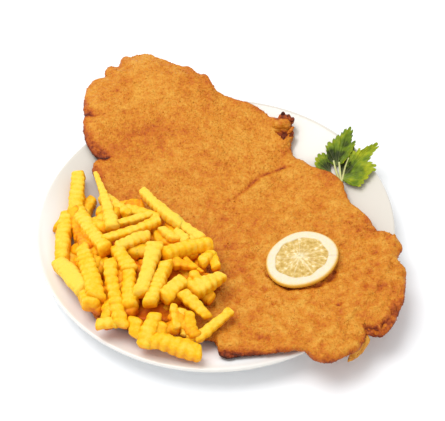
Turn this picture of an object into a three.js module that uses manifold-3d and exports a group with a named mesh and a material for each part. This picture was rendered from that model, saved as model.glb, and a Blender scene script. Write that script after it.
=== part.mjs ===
// A large breaded schnitzel lying across a porcelain dinner plate, with a heap of crinkle-cut fries,
// a slice of lemon and a sprig of flat-leaf parsley. Each is one closed solid.
// Millimetres, +Z up. Everything is laid out from the plate's centre, with z = 0 at the surface it stands on.
import * as THREE from "three";
import { mergeVertices } from "three/addons/utils/BufferGeometryUtils.js";
import Module from "manifold-3d";

const wasm = await Module();
wasm.setup();
const { clamp, degToRad, lerp, smoothstep } = THREE.MathUtils;

// ---------------------------------------------------------------- driving dimensions
const PLATE = {
  radius: 150,
  rimHeight: 24,
  wellRadius: 85,
  wellHeight: 6,
  sweep: 1.35, // power of the flange's climb: 1 is a cone
  wall: 4.5,
  lip: 1.9,
  footRadius: 88,
  footWidth: 7,
  sides: 48,
  flangeSteps: 7,
  underSteps: 4,
};
const GAP = 0.5; // air left between things that touch

const SHEET = {
  heart: [15, 30], // every point of the outline is seen from here
  longAxis: degToRad(124), // direction of the longer side, from +X
  sagHeight: 8, // underside at the plate's centre
  curlAlong: 0.00075, // underside rises by this times the distance squared, along the long axis
  curlAcross: 0.00052,
  clear: 2.1, // least height over the plate
  reachHeight: 26.2, // underside where it hangs over the rim
  droop: 6, // how far the hanging end has sunk, droopSpan past the rim
  droopSpan: 75,
  edge: 7.4, // thickness at the edge
  crown: 1.8, // extra thickness further in
  rounding: 0.15, // over this share of the way in, the crown comes up
  blend: 2.6, // how softly its stretches run into each other
  longSide: 13, // a longer side of the outline is split once
  topRings: [0.15, 0.32, 0.48, 0.64, 0.78, 0.9], // as shares of the way from the heart to the outline
  edgeRings: [
    { inset: 3.2, up: 0.97 }, // up: from the underside, 0, to the top, 1
    { inset: 0.9, up: 0.82 },
    { inset: 0, up: 0.5 },
    { inset: 0.7, up: 0.16 },
    { inset: 3, up: 0 },
  ],
  // Underneath, rings follow circles of the plate, as far out as `most` of the way to the outline.
  underRings: [
    { circle: 156, most: 0.955 },
    { circle: 147, most: 0.91 },
    { circle: 128, most: 0.84 },
    { circle: 60, most: 0.4 },
  ],
};

// Outline of the schnitzel, clockwise from the notch on its left.
const SHEET_OUTLINE = [
  [-115, 125], [-116, 131], [-117, 141], [-116, 154], [-114.5, 165], [-109, 176], [-99, 180.5],
  [-99.5, 188], [-96, 196], [-87, 195], [-85.5, 205], [-82, 211], [-75, 209], [-67, 211], [-61, 211.5],
  [-53, 204.5], [-42, 198], [-29, 189.5], [-21, 188], [-12.5, 177], [-5, 175], [0, 163], [9, 150.5],
  [24, 143], [38, 136.5], [46, 130.5], [52, 124.5], [58, 122.5], // frill
  [64, 121.5], [70, 117], [71.5, 109], [71.5, 101], [69, 95], // waist
  [69.5, 84], [72, 77.5], [78, 74], [86, 65.5], [94, 61], [102, 56], [107.5, 49.5], [111.5, 41.5],
  [113, 32], [115, 22], [120, 13], [127, 3.5], [131, -6], [133.5, -14], [137.5, -20.5], [145, -25],
  [152, -33], [152.5, -40], [147, -50.5], [152.5, -62], [151.5, -76], [147, -95], [140, -110.5],
  [132, -122.5], [124, -126], [116, -124.5], // flap
  [113, -131], [109, -138], [104, -142], [98, -144.5], // near edge
  [84, -151], [73, -149], [66.5, -141], [50, -139.5], [38, -139.5], [21, -139.5], [7, -142.5], [1.5, -140],
  [0, -133], [-3, -122], // under the fries
  [-14, -119], [-35, -115], [-60, -110], [-84, -104], [-97, -97], [-105, -82], [-109, -60], [-108, -32],
  [-103, -5], [-97, 18], // left side, up to the second lobe
  [-94, 36], [-101, 49], [-106, 62], [-106, 71], [-102.5, 77.5], [-105, 82], [-109.5, 88], [-113, 96.5],
  [-116, 108], [-116, 118],
];

// Grooves and swells of the crust: a run of points, how wide to each side, how high (minus is a groove).
const CREASES = [
  { run: [[24, 39], [31, 47], [41, 56], [52, 61], [63, 65]], wide: 3.4, high: -1.9 },
  { run: [[28, 33], [40, 45], [52, 54], [66, 58]], wide: 8, high: 1.6 },
  { run: [[44, -14], [96, -12]], wide: 26, high: 3.5 }, // carries the lemon slice
  { run: [[-84, 94], [-62, 110], [-36, 114], [-22, 110]], wide: 11, high: -0.9 },
  { run: [[-92, 78], [-77, 82], [-62, 86], [-48, 90]], wide: 6, high: -1 },
  { run: [[-98, 181], [-84, 176], [-78, 164]], wide: 5, high: -1.2 },
  { run: [[-86, 195], [-76, 187]], wide: 5, high: -1.4 },
  { run: [[-12, 175], [-22, 166], [-30, 152]], wide: 6, high: -0.9 },
  { run: [[66, 84], [58, 74], [54, 68]], wide: 6, high: -1.2 },
  { run: [[-118, 146], [-115, 133], [-105, 125]], wide: 6, high: -2.6 },
  { run: [[-116, 113], [-112, 98], [-105, 86], [-94, 80]], wide: 6, high: -2.6 },
  { run: [[118, -124], [129, -119], [137, -109], [143, -98]], wide: 6, high: -2.8 },
  { run: [[57, 111], [68, 109]], wide: 8, high: 2.6 }, // the frill's curl
  { run: [[58, 102], [66, 101]], wide: 5, high: -2.4 },
];
// Broad waves of the meat: direction from +X, wavelength, height.
const WAVES = [
  { heading: degToRad(20), length: 96, height: 0.7 },
  { heading: degToRad(75), length: 71, height: 0.55 },
  { heading: degToRad(140), length: 52, height: 0.35 },
];

// The heap of fries: a low dome over an oval of the plate.
const HEAP = {
  centre: [-62, -52],
  halfWidth: 78,
  halfDepth: 95,
  edgeHeight: 12, // one fry at the edge of the heap
  rise: 17, // more than that in the middle
  fullness: 0.65, // power of the dome's climb: lower is flatter on top
  skirt: 0.05, // the schnitzel's edge is ramped over this share of its width
};
// What fills the heap under the fries that show.
const CORE = {
  centre: [-65, -50],
  halfWidth: 55,
  halfDepth: 92,
  turn: degToRad(30),
  below: 9.5, // its top under the heap's
  lift: 1.6, // its underside over what carries it
  thinnest: 2,
  skirt: 0.28,
  sides: 26,
  topRings: [0.3, 0.58, 0.8, 0.94],
  underRings: [0.5, 0.9],
};
const CRINKLE = { pitch: 9.6, depth: 0.08 };

// The fries, in the order they lie: both ends in plan, thickness, and how deep in the heap they are.
const FRIES = [
  [-135, 2, -124, 1, 10, 7], [-121, 18, -112, -20, 10, 9], [-104, 37, -111, 13, 9.5, 6],
  [-64, -108, -64, -123, 12, 5], [-22, -105, -19, -125, 9, 5], [-109, -75, -98, -98, 13.5, 5],
  [-42, -113, -47, -127, 10.5, 5], [-95, -113, -77, -111, 8, 4], [-69, -60, -68, -101, 12, 4],
  [-45, -16, -32, -31, 8, 3], [-4, -42, 0, -58, 8, 4], [-13, -55, -3, -40, 9, 3],
  [-76, 7, -46, -5, 9, 4], [-95, 26, -70, -1, 10, 3], [-80, -14, -52, 0, 6.5, 3],
  [-36, -54, -15, -61, 8, 3], [-126, 20, -126, -41, 11, 3], [-119, 64, -119, 17, 12.5, 2],
  [-48, -106, -57, -133, 13, 3], [-28, -102, -25, -122, 7.5, 3], [-34, -99, -32, -119, 6.5, 3],
  [-129, -42, -104, -82, 15, 2], [-80, -39, -68, -66, 12, 2.5], [-116, 19, -88, -45, 12, 1],
  [-109, -35, -94, -93, 14, 1], [-81, -41, -53, -26, 9.5, 2], [-32, -8, -11, -28, 8, 1],
  [-62, 28, -27, -14, 9, 0], [-92, -33, -45, -9, 7.5, 0.5], [-102, 51, -84, -20, 7.5, 0],
  [-43, -51, -3, -31, 12, -0.5], [-39, -57, -53, -101, 11, 0], [-48, -39, -60, -93, 13, -2],
  [-85, -55, -74, -117, 11, -1], [-26, -74, -42, -95, 13, 0], [-28, -87, -7, -109, 10, 0],
  [5, -65, -21, -85, 12, 0], [-56, -128, -13, -139, 12.5, 0], [-18, -125, 11, -99, 8, 0],
];

const LEMON = {
  centre: [69.8, -46],
  radius: 29.8,
  thickness: 4.8,
  rind: 1.6, // rounding of the rind
  pith: 8.2, // width of the white ring
  recess: 0.7, // flesh below the pith
  segments: 10,
  stepsPerSegment: 4,
  hub: [-1.8, 2.6], // where the segments meet, off the centre
  tilt: -0.02, // how much more its far side is raised, as a slope
};

const SPRIG = {
  root: [109, 50],
  leafThickness: 0.9,
  stemRadius: 1.0,
  stemSides: 6,
  stemSteps: 4,
  across: 12, // divisions of a leaflet, side to side
  along: 3, // and from its stalk to its tips
  lobes: 0.34, // how deep it is cut between its three lobes
  shoulders: 0.3, // how much shorter its sides are than its middle
  wave: 1.1,
  fold: 1.4,
  // Leaflets: stalk end in plan, height of it above the plate, heading, length, half spread, tip's rise
  leaflets: [
    { stalk: [104, 60], lift: 2.4, heading: degToRad(123), length: 24, spread: degToRad(42), rise: 1 },
    { stalk: [108, 63], lift: 3.4, heading: degToRad(77), length: 41, spread: degToRad(27), rise: 4 },
    { stalk: [116, 61], lift: 3.0, heading: degToRad(40), length: 38, spread: degToRad(25), rise: 3 },
    { stalk: [112, 52], lift: 2.4, heading: degToRad(2), length: 28, spread: degToRad(40), rise: 2.5 },
  ],
};

// ---------------------------------------------------------------- heights
const distance = (x, y) => Math.hypot(x, y);

// The smaller or the larger of two heights, rounded where they cross.
function softMin(a, b, blend) {
  const near = Math.max(blend - Math.abs(a - b), 0) / blend;
  return Math.min(a, b) - (near * near * blend) / 4;
}
const softMax = (a, b, blend) => -softMin(-a, -b, blend);

// Top of the plate at a distance from its centre; outside it, a surface that falls away.
function plateTop(r) {
  const climb = clamp((r - PLATE.wellRadius) / (PLATE.radius - 1 - PLATE.wellRadius), 0, 1) ** PLATE.sweep;
  return lerp(PLATE.wellHeight, PLATE.rimHeight, climb) - Math.max(r - PLATE.radius, 0);
}

// Underside of the schnitzel: a shallow saddle that is carried by the flange and levels out over the rim.
function sheetUnderside(x, y) {
  const along = x * Math.cos(SHEET.longAxis) + y * Math.sin(SHEET.longAxis);
  const across = y * Math.cos(SHEET.longAxis) - x * Math.sin(SHEET.longAxis);
  const dish = SHEET.sagHeight + SHEET.curlAlong * along ** 2 + SHEET.curlAcross * across ** 2;
  const past = Math.max(distance(x, y) - PLATE.radius, 0) / SHEET.droopSpan;
  const reach = SHEET.reachHeight - SHEET.droop * past ** 2;
  const lowest = plateTop(distance(x, y)) + SHEET.clear;
  return softMax(softMin(dish, reach, SHEET.blend), lowest, SHEET.blend);
}

const outlineCurve = new THREE.CatmullRomCurve3(
  SHEET_OUTLINE.map(([x, y]) => new THREE.Vector3(x, y, 0)),
  true,
  "catmullrom",
  0.5,
);

// The outline's corners, with one more point in the middle of each long side.
function outlinePoints(longSide) {
  const count = SHEET_OUTLINE.length;
  return SHEET_OUTLINE.flatMap(([x, y], i) => {
    const [nextX, nextY] = SHEET_OUTLINE[(i + 1) % count];
    const corner = new THREE.Vector2(x, y);
    if (distance(nextX - x, nextY - y) < longSide) return [corner];
    const middle = outlineCurve.getPoint((i + 0.5) / count);
    return [corner, new THREE.Vector2(middle.x, middle.y)];
  });
}

// Distance from the heart to the outline, by direction, from a fan of its points.
const outlineFan = outlineCurve
  .getPoints(SHEET_OUTLINE.length * 6)
  .slice(0, -1)
  .map((p) => p.sub(new THREE.Vector3(...SHEET.heart, 0)))
  .map((p) => ({ angle: Math.atan2(p.y, p.x), reach: p.length() }))
  .sort((a, b) => a.angle - b.angle);

function outlineReach(angle) {
  const next = outlineFan.findIndex((point) => point.angle > angle);
  const b = outlineFan[Math.max(next, 0)];
  const a = outlineFan.at(next > 0 ? next - 1 : -1);
  const turn = 2 * Math.PI;
  const step = (b.angle - a.angle + turn) % turn || turn;
  return lerp(a.reach, b.reach, ((angle - a.angle + turn) % turn) / step);
}

// 0 at the heart of the schnitzel, 1 at its outline, more outside.
function sheetShare(x, y) {
  const dx = x - SHEET.heart[0];
  const dy = y - SHEET.heart[1];
  return distance(dx, dy) / outlineReach(Math.atan2(dy, dx));
}

function distanceToRun(x, y, run) {
  let nearest = Infinity;
  for (let i = 0; i + 1 < run.length; i++) {
    const [ax, ay] = run[i];
    const dx = run[i + 1][0] - ax;
    const dy = run[i + 1][1] - ay;
    const t = clamp(((x - ax) * dx + (y - ay) * dy) / (dx * dx + dy * dy), 0, 1);
    nearest = Math.min(nearest, distance(x - ax - t * dx, y - ay - t * dy));
  }
  return nearest;
}

// Waves and creases of the crust, above or below its plain top.
function crustRelief(x, y) {
  let height = 0;
  for (const { heading, length, height: tall } of WAVES)
    height += tall * Math.sin((2 * Math.PI * (x * Math.cos(heading) + y * Math.sin(heading))) / length);
  for (const { run, wide, high } of CREASES)
    height += high * Math.exp(-((distanceToRun(x, y, run) / wide) ** 2));
  return height;
}

function sheetTop(x, y) {
  const inward = smoothstep(1 - sheetShare(x, y), 0, SHEET.rounding);
  return sheetUnderside(x, y) + SHEET.edge + SHEET.crown * inward + crustRelief(x, y);
}

// What carries the fries: the plate, or the schnitzel where it is, with a ramp `skirt` wide at its edge.
function bedHeight(x, y, skirt) {
  const plate = plateTop(distance(x, y));
  const onSheet = smoothstep(1 + skirt - sheetShare(x, y), 0, skirt);
  return plate + onSheet * Math.max(sheetTop(x, y) - plate, 0);
}

function heapTop(x, y) {
  const across = (x - HEAP.centre[0]) / HEAP.halfWidth;
  const along = (y - HEAP.centre[1]) / HEAP.halfDepth;
  const inside = clamp(1 - across ** 2 - along ** 2, 0, 1);
  return bedHeight(x, y, HEAP.skirt) + HEAP.edgeHeight + HEAP.rise * inside ** HEAP.fullness;
}

// ---------------------------------------------------------------- closed surfaces
// Six times the volume that triangles enclose; below zero where they face inwards.
function enclosed(points, faces) {
  let sum = 0;
  for (let i = 0; i < faces.length; i += 3)
    sum += points[faces[i]].dot(points[faces[i + 1]].clone().cross(points[faces[i + 2]]));
  return sum;
}

function geometryFrom(points, faces) {
  if (enclosed(points, faces) < 0) faces.reverse();
  const geometry = new THREE.BufferGeometry();
  const places = points.flatMap((p) => [p.x, p.y, p.z]);
  geometry.setAttribute("position", new THREE.Float32BufferAttribute(places, 3));
  geometry.setIndex(faces);
  geometry.computeVertexNormals();
  return geometry;
}

// A skin over closed rings of equally many points, with a fan from a middle point at each end.
function ringSolid(start, rings, end) {
  const count = rings[0].length;
  const points = [start, ...rings.flat(), end];
  const at = (ring, i) => 1 + ring * count + (i % count);
  const faces = [];
  for (let i = 0; i < count; i++) {
    faces.push(0, at(0, i), at(0, i + 1));
    for (let r = 0; r + 1 < rings.length; r++)
      faces.push(at(r, i), at(r + 1, i), at(r + 1, i + 1), at(r, i), at(r + 1, i + 1), at(r, i + 1));
    faces.push(at(rings.length - 1, i), points.length - 1, at(rings.length - 1, i + 1));
  }
  return geometryFrom(points, faces);
}

// A thin sheet: a grid of points and the same grid lowered by its thickness, both split alike.
function sheetSolid(grid, thickness) {
  const rows = grid.length;
  const columns = grid[0].length;
  const upper = grid.flat();
  const lower = upper.map((p) => new THREE.Vector3(p.x, p.y, p.z - thickness));
  const at = (r, c) => r * columns + c;
  const below = rows * columns;
  const faces = [];
  for (let r = 0; r + 1 < rows; r++)
    for (let c = 0; c + 1 < columns; c++) {
      const [a, b, d, e] = [at(r, c), at(r + 1, c), at(r + 1, c + 1), at(r, c + 1)];
      faces.push(a, b, d, a, d, e, below + a, below + d, below + b, below + a, below + e, below + d);
    }
  const border = [];
  for (let c = 0; c + 1 < columns; c++) border.push(at(0, c));
  for (let r = 0; r + 1 < rows; r++) border.push(at(r, columns - 1));
  for (let c = columns - 1; c > 0; c--) border.push(at(rows - 1, c));
  for (let r = rows - 1; r > 0; r--) border.push(at(r, 0));
  border.forEach((a, i) => {
    const b = border[(i + 1) % border.length];
    faces.push(a, b, below + b, a, below + b, below + a);
  });
  return geometryFrom([...upper, ...lower], faces);
}

function toManifold(geometry) {
  const bare = geometry.clone();
  bare.deleteAttribute("normal");
  bare.deleteAttribute("uv");
  const merged = mergeVertices(bare, 1e-4);
  return new wasm.Manifold(
    new wasm.Mesh({
      numProp: 3,
      vertProperties: merged.attributes.position.array,
      triVerts: new Uint32Array(merged.index.array),
    }),
  );
}

// The largest body of a fused solid, as a geometry; loose scraps are dropped.
function largestBody(fused) {
  const body = fused.decompose().sort((a, b) => b.volume() - a.volume())[0];
  const mesh = body.getMesh();
  const points = [];
  for (let i = 0; i < mesh.numVert; i++)
    points.push(new THREE.Vector3(...mesh.vertProperties.subarray(i * mesh.numProp, i * mesh.numProp + 3)));
  return geometryFrom(points, [...mesh.triVerts]);
}

const fuse = (solids) => solids.reduce((whole, solid) => whole.add(solid));

// ---------------------------------------------------------------- plate
// Turned from its profile: flat well, sweeping flange, rounded lip, foot ring.
function plateGeometry() {
  const { radius, rimHeight, wellRadius, wellHeight, wall, lip, footRadius, footWidth } = PLATE;
  const { flangeSteps, underSteps, sides } = PLATE;
  const profile = [new THREE.Vector2(0, wellHeight), new THREE.Vector2(wellRadius - 2, wellHeight)];
  const flangeEnd = radius - lip;
  for (let i = 1; i <= flangeSteps; i++) {
    const r = lerp(wellRadius, flangeEnd, i / flangeSteps);
    profile.push(new THREE.Vector2(r, plateTop(r)));
  }
  const lipCentre = new THREE.Vector2(flangeEnd, rimHeight - lip);
  for (const degrees of [40, -10, -70]) {
    const a = degToRad(degrees);
    profile.push(new THREE.Vector2(lipCentre.x + lip * Math.cos(a), lipCentre.y + lip * Math.sin(a)));
  }
  for (let i = 1; i <= underSteps; i++) {
    const r = lerp(flangeEnd - 4, footRadius + 3, i / underSteps);
    profile.push(new THREE.Vector2(r, plateTop(r) - wall));
  }
  profile.push(new THREE.Vector2(footRadius, 0));
  profile.push(new THREE.Vector2(footRadius - footWidth, 0));
  profile.push(new THREE.Vector2(footRadius - footWidth - 1.5, wellHeight - wall));
  profile.push(new THREE.Vector2(0, wellHeight - wall));
  return new THREE.LatheGeometry(profile.reverse(), sides).rotateX(Math.PI / 2);
}

// ---------------------------------------------------------------- schnitzel
// Rings of the outline drawn in towards the heart: over the top, round the edge and back underneath.
function schnitzelGeometry() {
  const heart = new THREE.Vector2(...SHEET.heart);
  const outline = outlinePoints(SHEET.longSide);
  // shareOf says how far out along a ray the ring lies, up how high between underside and top.
  const ring = (shareOf, inset, up) =>
    outline.map((corner) => {
      const ray = corner.clone().sub(heart);
      const p = heart.clone().add(ray.clone().setLength(ray.length() * shareOf(ray) - inset));
      return new THREE.Vector3(p.x, p.y, lerp(sheetUnderside(p.x, p.y), sheetTop(p.x, p.y), up));
    });
  const onCircle = (r, most) => (ray) => {
    const [a, b, c] = [ray.lengthSq(), heart.dot(ray), heart.lengthSq() - r * r];
    return Math.min(most, (Math.sqrt(b * b - a * c) - b) / a);
  };
  const under = SHEET.underRings.map(({ circle, most }) => ring(onCircle(circle, most), 0, 0));
  const edge = SHEET.edgeRings.map(({ inset, up }) => ring(() => 1, inset, up));
  const over = SHEET.topRings.map((share) => ring(() => share, 0, 1));
  const start = new THREE.Vector3(heart.x, heart.y, sheetUnderside(heart.x, heart.y));
  const end = new THREE.Vector3(heart.x, heart.y, sheetTop(heart.x, heart.y));
  return ringSolid(start, [...under.reverse(), ...edge.reverse(), ...over.reverse()], end);
}

// ---------------------------------------------------------------- fries
// A square stick from a to b whose sides swell and narrow along it, as a crinkle blade leaves them.
function fryGeometry(a, b, thickness) {
  const axis = b.clone().sub(a);
  const length = axis.length();
  axis.normalize();
  const side = new THREE.Vector3(0, 0, 1).cross(axis).normalize();
  const up = axis.clone().cross(side);
  const steps = Math.max(4, Math.round(length / (CRINKLE.pitch / 2)));
  const corners = [[1, 1], [-1, 1], [-1, -1], [1, -1]];
  const rings = [];
  for (let i = 0; i <= steps; i++) {
    const swell = i % 2 ? 1 + CRINKLE.depth : 1 - CRINKLE.depth;
    const half = (thickness / 2) * swell;
    const middle = a.clone().addScaledVector(axis, (length * i) / steps);
    const corner = ([s, u]) => middle.clone().addScaledVector(side, s * half).addScaledVector(up, u * half);
    rings.push(corners.map(corner));
  }
  return ringSolid(a, rings, b);
}

// Both ends lie at their depth in the heap, and the whole fry is raised until it clears what is under it.
function fryEnds([x0, y0, x1, y1, thickness, depth]) {
  const half = thickness / 2;
  const ends = [[x0, y0], [x1, y1]].map(([x, y]) => {
    const lowest = bedHeight(x, y, HEAP.skirt) + half;
    return new THREE.Vector3(x, y, Math.max(heapTop(x, y) - half - depth, lowest));
  });
  const room = half * (1 + CRINKLE.depth) + GAP;
  let lift = 0;
  const samples = 16;
  for (let i = 0; i <= samples; i++) {
    const p = ends[0].clone().lerp(ends[1], i / samples);
    for (const aside of [-half, 0, half]) {
      const direction = ends[1].clone().sub(ends[0]).normalize();
      const x = p.x - direction.y * aside;
      const y = p.y + direction.x * aside;
      lift = Math.max(lift, bedHeight(x, y, HEAP.skirt) + room - p.z);
    }
  }
  ends.forEach((end) => (end.z += lift));
  return ends;
}

function heapCore() {
  const { centre, halfWidth, halfDepth, turn, sides } = CORE;
  const bottom = (x, y) => bedHeight(x, y, CORE.skirt) + CORE.lift;
  const top = (x, y) => Math.max(heapTop(x, y) - CORE.below, bottom(x, y) + CORE.thinnest);
  const point = (share, angle, height) => {
    const across = halfWidth * share * Math.cos(angle);
    const along = halfDepth * share * Math.sin(angle);
    const x = centre[0] + across * Math.cos(turn) - along * Math.sin(turn);
    const y = centre[1] + across * Math.sin(turn) + along * Math.cos(turn);
    return new THREE.Vector3(x, y, height(x, y));
  };
  const around = Array.from({ length: sides }, (_, i) => (2 * Math.PI * i) / sides);
  const ring = (share, height) => around.map((angle) => point(share, angle, height));
  const under = CORE.underRings.map((share) => ring(share, bottom));
  const rim = ring(1, (x, y) => bottom(x, y) + CORE.thinnest / 2);
  const over = CORE.topRings.map((share) => ring(share, top)).reverse();
  return ringSolid(point(0, 0, bottom), [...under, rim, ...over], point(0, 0, top));
}

function friesGeometry() {
  const sticks = FRIES.map((fry) => toManifold(fryGeometry(...fryEnds(fry), fry[4])));
  return largestBody(fuse([toManifold(heapCore()), ...sticks]));
}

// ---------------------------------------------------------------- lemon slice
// A round slice, flat below, with the flesh sunk between the pith and the walls of its segments.
function lemonGeometry() {
  const { radius, thickness, rind, pith, recess, segments, stepsPerSegment, hub } = LEMON;
  const count = segments * stepsPerSegment;
  const ring = (r, z, wall) =>
    Array.from({ length: count }, (_, i) => {
      const a = (2 * Math.PI * i) / count;
      const shift = 1 - r / radius;
      const raised = i % stepsPerSegment === 0 ? wall : 0;
      const x = r * Math.cos(a) + shift * hub[0];
      const y = r * Math.sin(a) + shift * hub[1];
      return new THREE.Vector3(x, y, z + raised);
    });
  const flesh = radius - pith;
  const low = thickness - recess;
  return ringSolid(
    new THREE.Vector3(0, 0, 0),
    [
      ring(radius - rind, 0, 0),
      ring(radius, rind, 0),
      ring(radius, thickness - rind, 0),
      ring(radius - rind, thickness, 0),
      ring(flesh, thickness, 0),
      ring(flesh - 1.2, low, recess),
      ring(flesh * 0.5, low, recess),
      ring(2.2, thickness, 0),
    ],
    new THREE.Vector3(...hub, thickness),
  );
}

// Lays the slice on the schnitzel: tilted as the top is there, and raised until every point clears it.
function layOnSheet(geometry, [x, y], reach) {
  const slope = (dx, dy) => (sheetTop(x + dx, y + dy) - sheetTop(x - dx, y - dy)) / (2 * distance(dx, dy));
  const normal = new THREE.Vector3(-slope(reach, 0), -slope(0, reach) - LEMON.tilt, 1).normalize();
  geometry.applyQuaternion(new THREE.Quaternion().setFromUnitVectors(new THREE.Vector3(0, 0, 1), normal));
  geometry.translate(x, y, 0);
  const place = geometry.attributes.position;
  let lift = -Infinity;
  for (let i = 0; i < place.count; i++)
    lift = Math.max(lift, sheetTop(place.getX(i), place.getY(i)) + GAP - place.getZ(i));
  return geometry.translate(0, 0, lift);
}

// ---------------------------------------------------------------- parsley
const groundUnderSprig = (x, y) => plateTop(Math.min(distance(x, y), PLATE.radius - PLATE.lip));

// A fan from its stalk, cut into three lobes at the far side, folded a little along the middle and waved.
function leafletGeometry({ stalk, lift, heading, length, spread, rise }) {
  const grid = [];
  for (let j = 0; j <= SPRIG.along; j++) {
    const v = lerp(0.05, 1, j / SPRIG.along);
    const row = [];
    for (let i = 0; i <= SPRIG.across; i++) {
      const u = (2 * i) / SPRIG.across - 1;
      const cut = (SPRIG.lobes * v ** 2 * (1 - Math.cos(3 * Math.PI * u))) / 2;
      const reach = v * length * (1 - SPRIG.shoulders * Math.abs(u) ** 1.6) * (1 - cut);
      const a = heading - u * spread;
      const x = stalk[0] + reach * Math.cos(a);
      const y = stalk[1] + reach * Math.sin(a);
      const wave = SPRIG.wave * v * Math.sin(3.1 * Math.PI * u + 1) + SPRIG.fold * v * Math.abs(u);
      row.push(new THREE.Vector3(x, y, groundUnderSprig(x, y) + lift + rise * v ** 2 + wave));
    }
    grid.push(row);
  }
  return sheetSolid(grid, SPRIG.leafThickness);
}

function stemGeometry([x, y], lift) {
  const [rootX, rootY] = SPRIG.root;
  const { stemRadius, stemSides, stemSteps } = SPRIG;
  const path = Array.from({ length: stemSteps + 1 }, (_, i) => {
    const t = i / stemSteps;
    const px = lerp(rootX, x, t);
    const py = lerp(rootY, y, t);
    return new THREE.Vector3(px, py, groundUnderSprig(px, py) + lerp(stemRadius + 1.2, lift - 0.3, t));
  });
  const rings = path.map((p, i) => {
    const ahead = path[Math.min(i + 1, stemSteps)].clone().sub(path[Math.max(i - 1, 0)]).normalize();
    const side = new THREE.Vector3(0, 0, 1).cross(ahead).normalize().multiplyScalar(stemRadius);
    const up = ahead.clone().cross(side);
    return Array.from({ length: stemSides }, (_, k) => {
      const a = (2 * Math.PI * k) / stemSides;
      return p.clone().addScaledVector(side, Math.cos(a)).addScaledVector(up, Math.sin(a));
    });
  });
  return ringSolid(path[0], rings, path[stemSteps]);
}

function parsleyGeometry() {
  return largestBody(
    fuse(
      SPRIG.leaflets.flatMap((leaflet) => {
        const { stalk, lift, heading } = leaflet;
        const tip = [stalk[0] + 3 * Math.cos(heading), stalk[1] + 3 * Math.sin(heading)];
        return [toManifold(leafletGeometry(leaflet)), toManifold(stemGeometry(tip, lift))];
      }),
    ),
  );
}

// ---------------------------------------------------------------- the meal
const porcelain = new THREE.MeshStandardMaterial({ color: 0xf6f0e9, roughness: 0.18, metalness: 0 });
const crust = new THREE.MeshStandardMaterial({ color: 0xdf8a30, roughness: 0.75, metalness: 0 });
const potato = new THREE.MeshStandardMaterial({ color: 0xf7c93f, roughness: 0.55, metalness: 0 });
const citrus = new THREE.MeshStandardMaterial({ color: 0xf6e6a8, roughness: 0.35, metalness: 0 });
const herb = new THREE.MeshStandardMaterial({ color: 0x6f9a24, roughness: 0.5, metalness: 0 });

function named(name, geometry, material) {
  const mesh = new THREE.Mesh(geometry, material);
  mesh.name = name;
  return mesh;
}

const meal = new THREE.Group();
meal.add(
  named("plate", plateGeometry(), porcelain),
  named("schnitzel", schnitzelGeometry(), crust),
  named("fries", friesGeometry(), potato),
  named("lemon_slice", layOnSheet(lemonGeometry(), LEMON.centre, LEMON.radius), citrus),
  named("parsley", parsleyGeometry(), herb),
);

// The origin is moved to the middle of the whole meal's box, on the surface it stands on.
const box = new THREE.Box3().setFromObject(meal);
meal.position.set(-(box.min.x + box.max.x) / 2, -(box.min.y + box.max.y) / 2, -box.min.z);

export default meal;
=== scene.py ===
"""A breaded schnitzel on its plate, with crinkle-cut fries, a lemon slice and parsley.

Every shape is a function of two parameters on a grid, worked out with numpy in millimetres from the
plate's centre, and goes into its mesh in metres. The plate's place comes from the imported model.
"""

import math

import bpy
import numpy as np
from mathutils import Matrix, Vector


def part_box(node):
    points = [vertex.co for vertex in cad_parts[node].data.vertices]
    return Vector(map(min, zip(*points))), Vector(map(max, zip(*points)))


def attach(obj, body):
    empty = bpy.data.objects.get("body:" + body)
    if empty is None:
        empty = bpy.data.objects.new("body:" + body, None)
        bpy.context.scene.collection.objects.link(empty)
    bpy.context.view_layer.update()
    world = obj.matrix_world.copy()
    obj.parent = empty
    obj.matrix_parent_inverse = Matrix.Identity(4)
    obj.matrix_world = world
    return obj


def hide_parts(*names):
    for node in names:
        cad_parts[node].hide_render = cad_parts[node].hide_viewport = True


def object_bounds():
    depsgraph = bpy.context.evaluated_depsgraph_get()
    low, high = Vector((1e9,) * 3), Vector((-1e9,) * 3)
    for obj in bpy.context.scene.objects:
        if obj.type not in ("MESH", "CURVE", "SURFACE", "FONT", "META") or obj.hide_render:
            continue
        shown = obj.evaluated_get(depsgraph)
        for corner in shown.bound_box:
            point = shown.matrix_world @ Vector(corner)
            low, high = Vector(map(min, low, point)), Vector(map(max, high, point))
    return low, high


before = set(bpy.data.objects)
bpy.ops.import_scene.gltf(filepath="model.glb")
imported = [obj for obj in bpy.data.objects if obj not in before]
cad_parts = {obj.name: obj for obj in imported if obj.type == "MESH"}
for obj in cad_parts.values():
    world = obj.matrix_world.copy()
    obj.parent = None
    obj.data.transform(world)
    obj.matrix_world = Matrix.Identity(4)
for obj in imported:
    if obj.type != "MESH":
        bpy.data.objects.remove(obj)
CAD_BOX = [list(corner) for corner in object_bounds()]

bl_info = {
    "name": "Schnitzel Plate",
    "version": (1, 0, 0),
    "blender": (4, 5, 0),
    "location": "3D View > Sidebar > Schnitzel",
    "description": "Builds a plated schnitzel with crinkle-cut fries, a lemon slice and parsley",
    "category": "Add Mesh",
}

MM = 0.001
PLATE_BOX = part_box("plate")
CENTRE = np.array([(PLATE_BOX[0].x + PLATE_BOX[1].x) / 2, (PLATE_BOX[0].y + PLATE_BOX[1].y) / 2, 0.0])

# ---------------------------------------------------------------- the meal's form, in millimetres

PLATE = {
    "radius": 150.0, "rim_height": 24.0, "well_radius": 85.0, "well_height": 6.0, "sweep": 1.35,
    "wall": 4.5, "lip": 1.9, "foot_radius": 88.0, "foot_width": 7.0,
}
SHEET = {
    "heart": (15.0, 30.0), "long_axis": math.radians(124), "sag_height": 8.0,
    "curl_along": 0.00075, "curl_across": 0.00052, "clear": 1.6, "reach_height": 26.2,
    "droop": 6.0, "droop_span": 75.0, "edge": 7.4, "crown": 1.8, "rounding": 0.15, "blend": 2.6,
}
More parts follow.
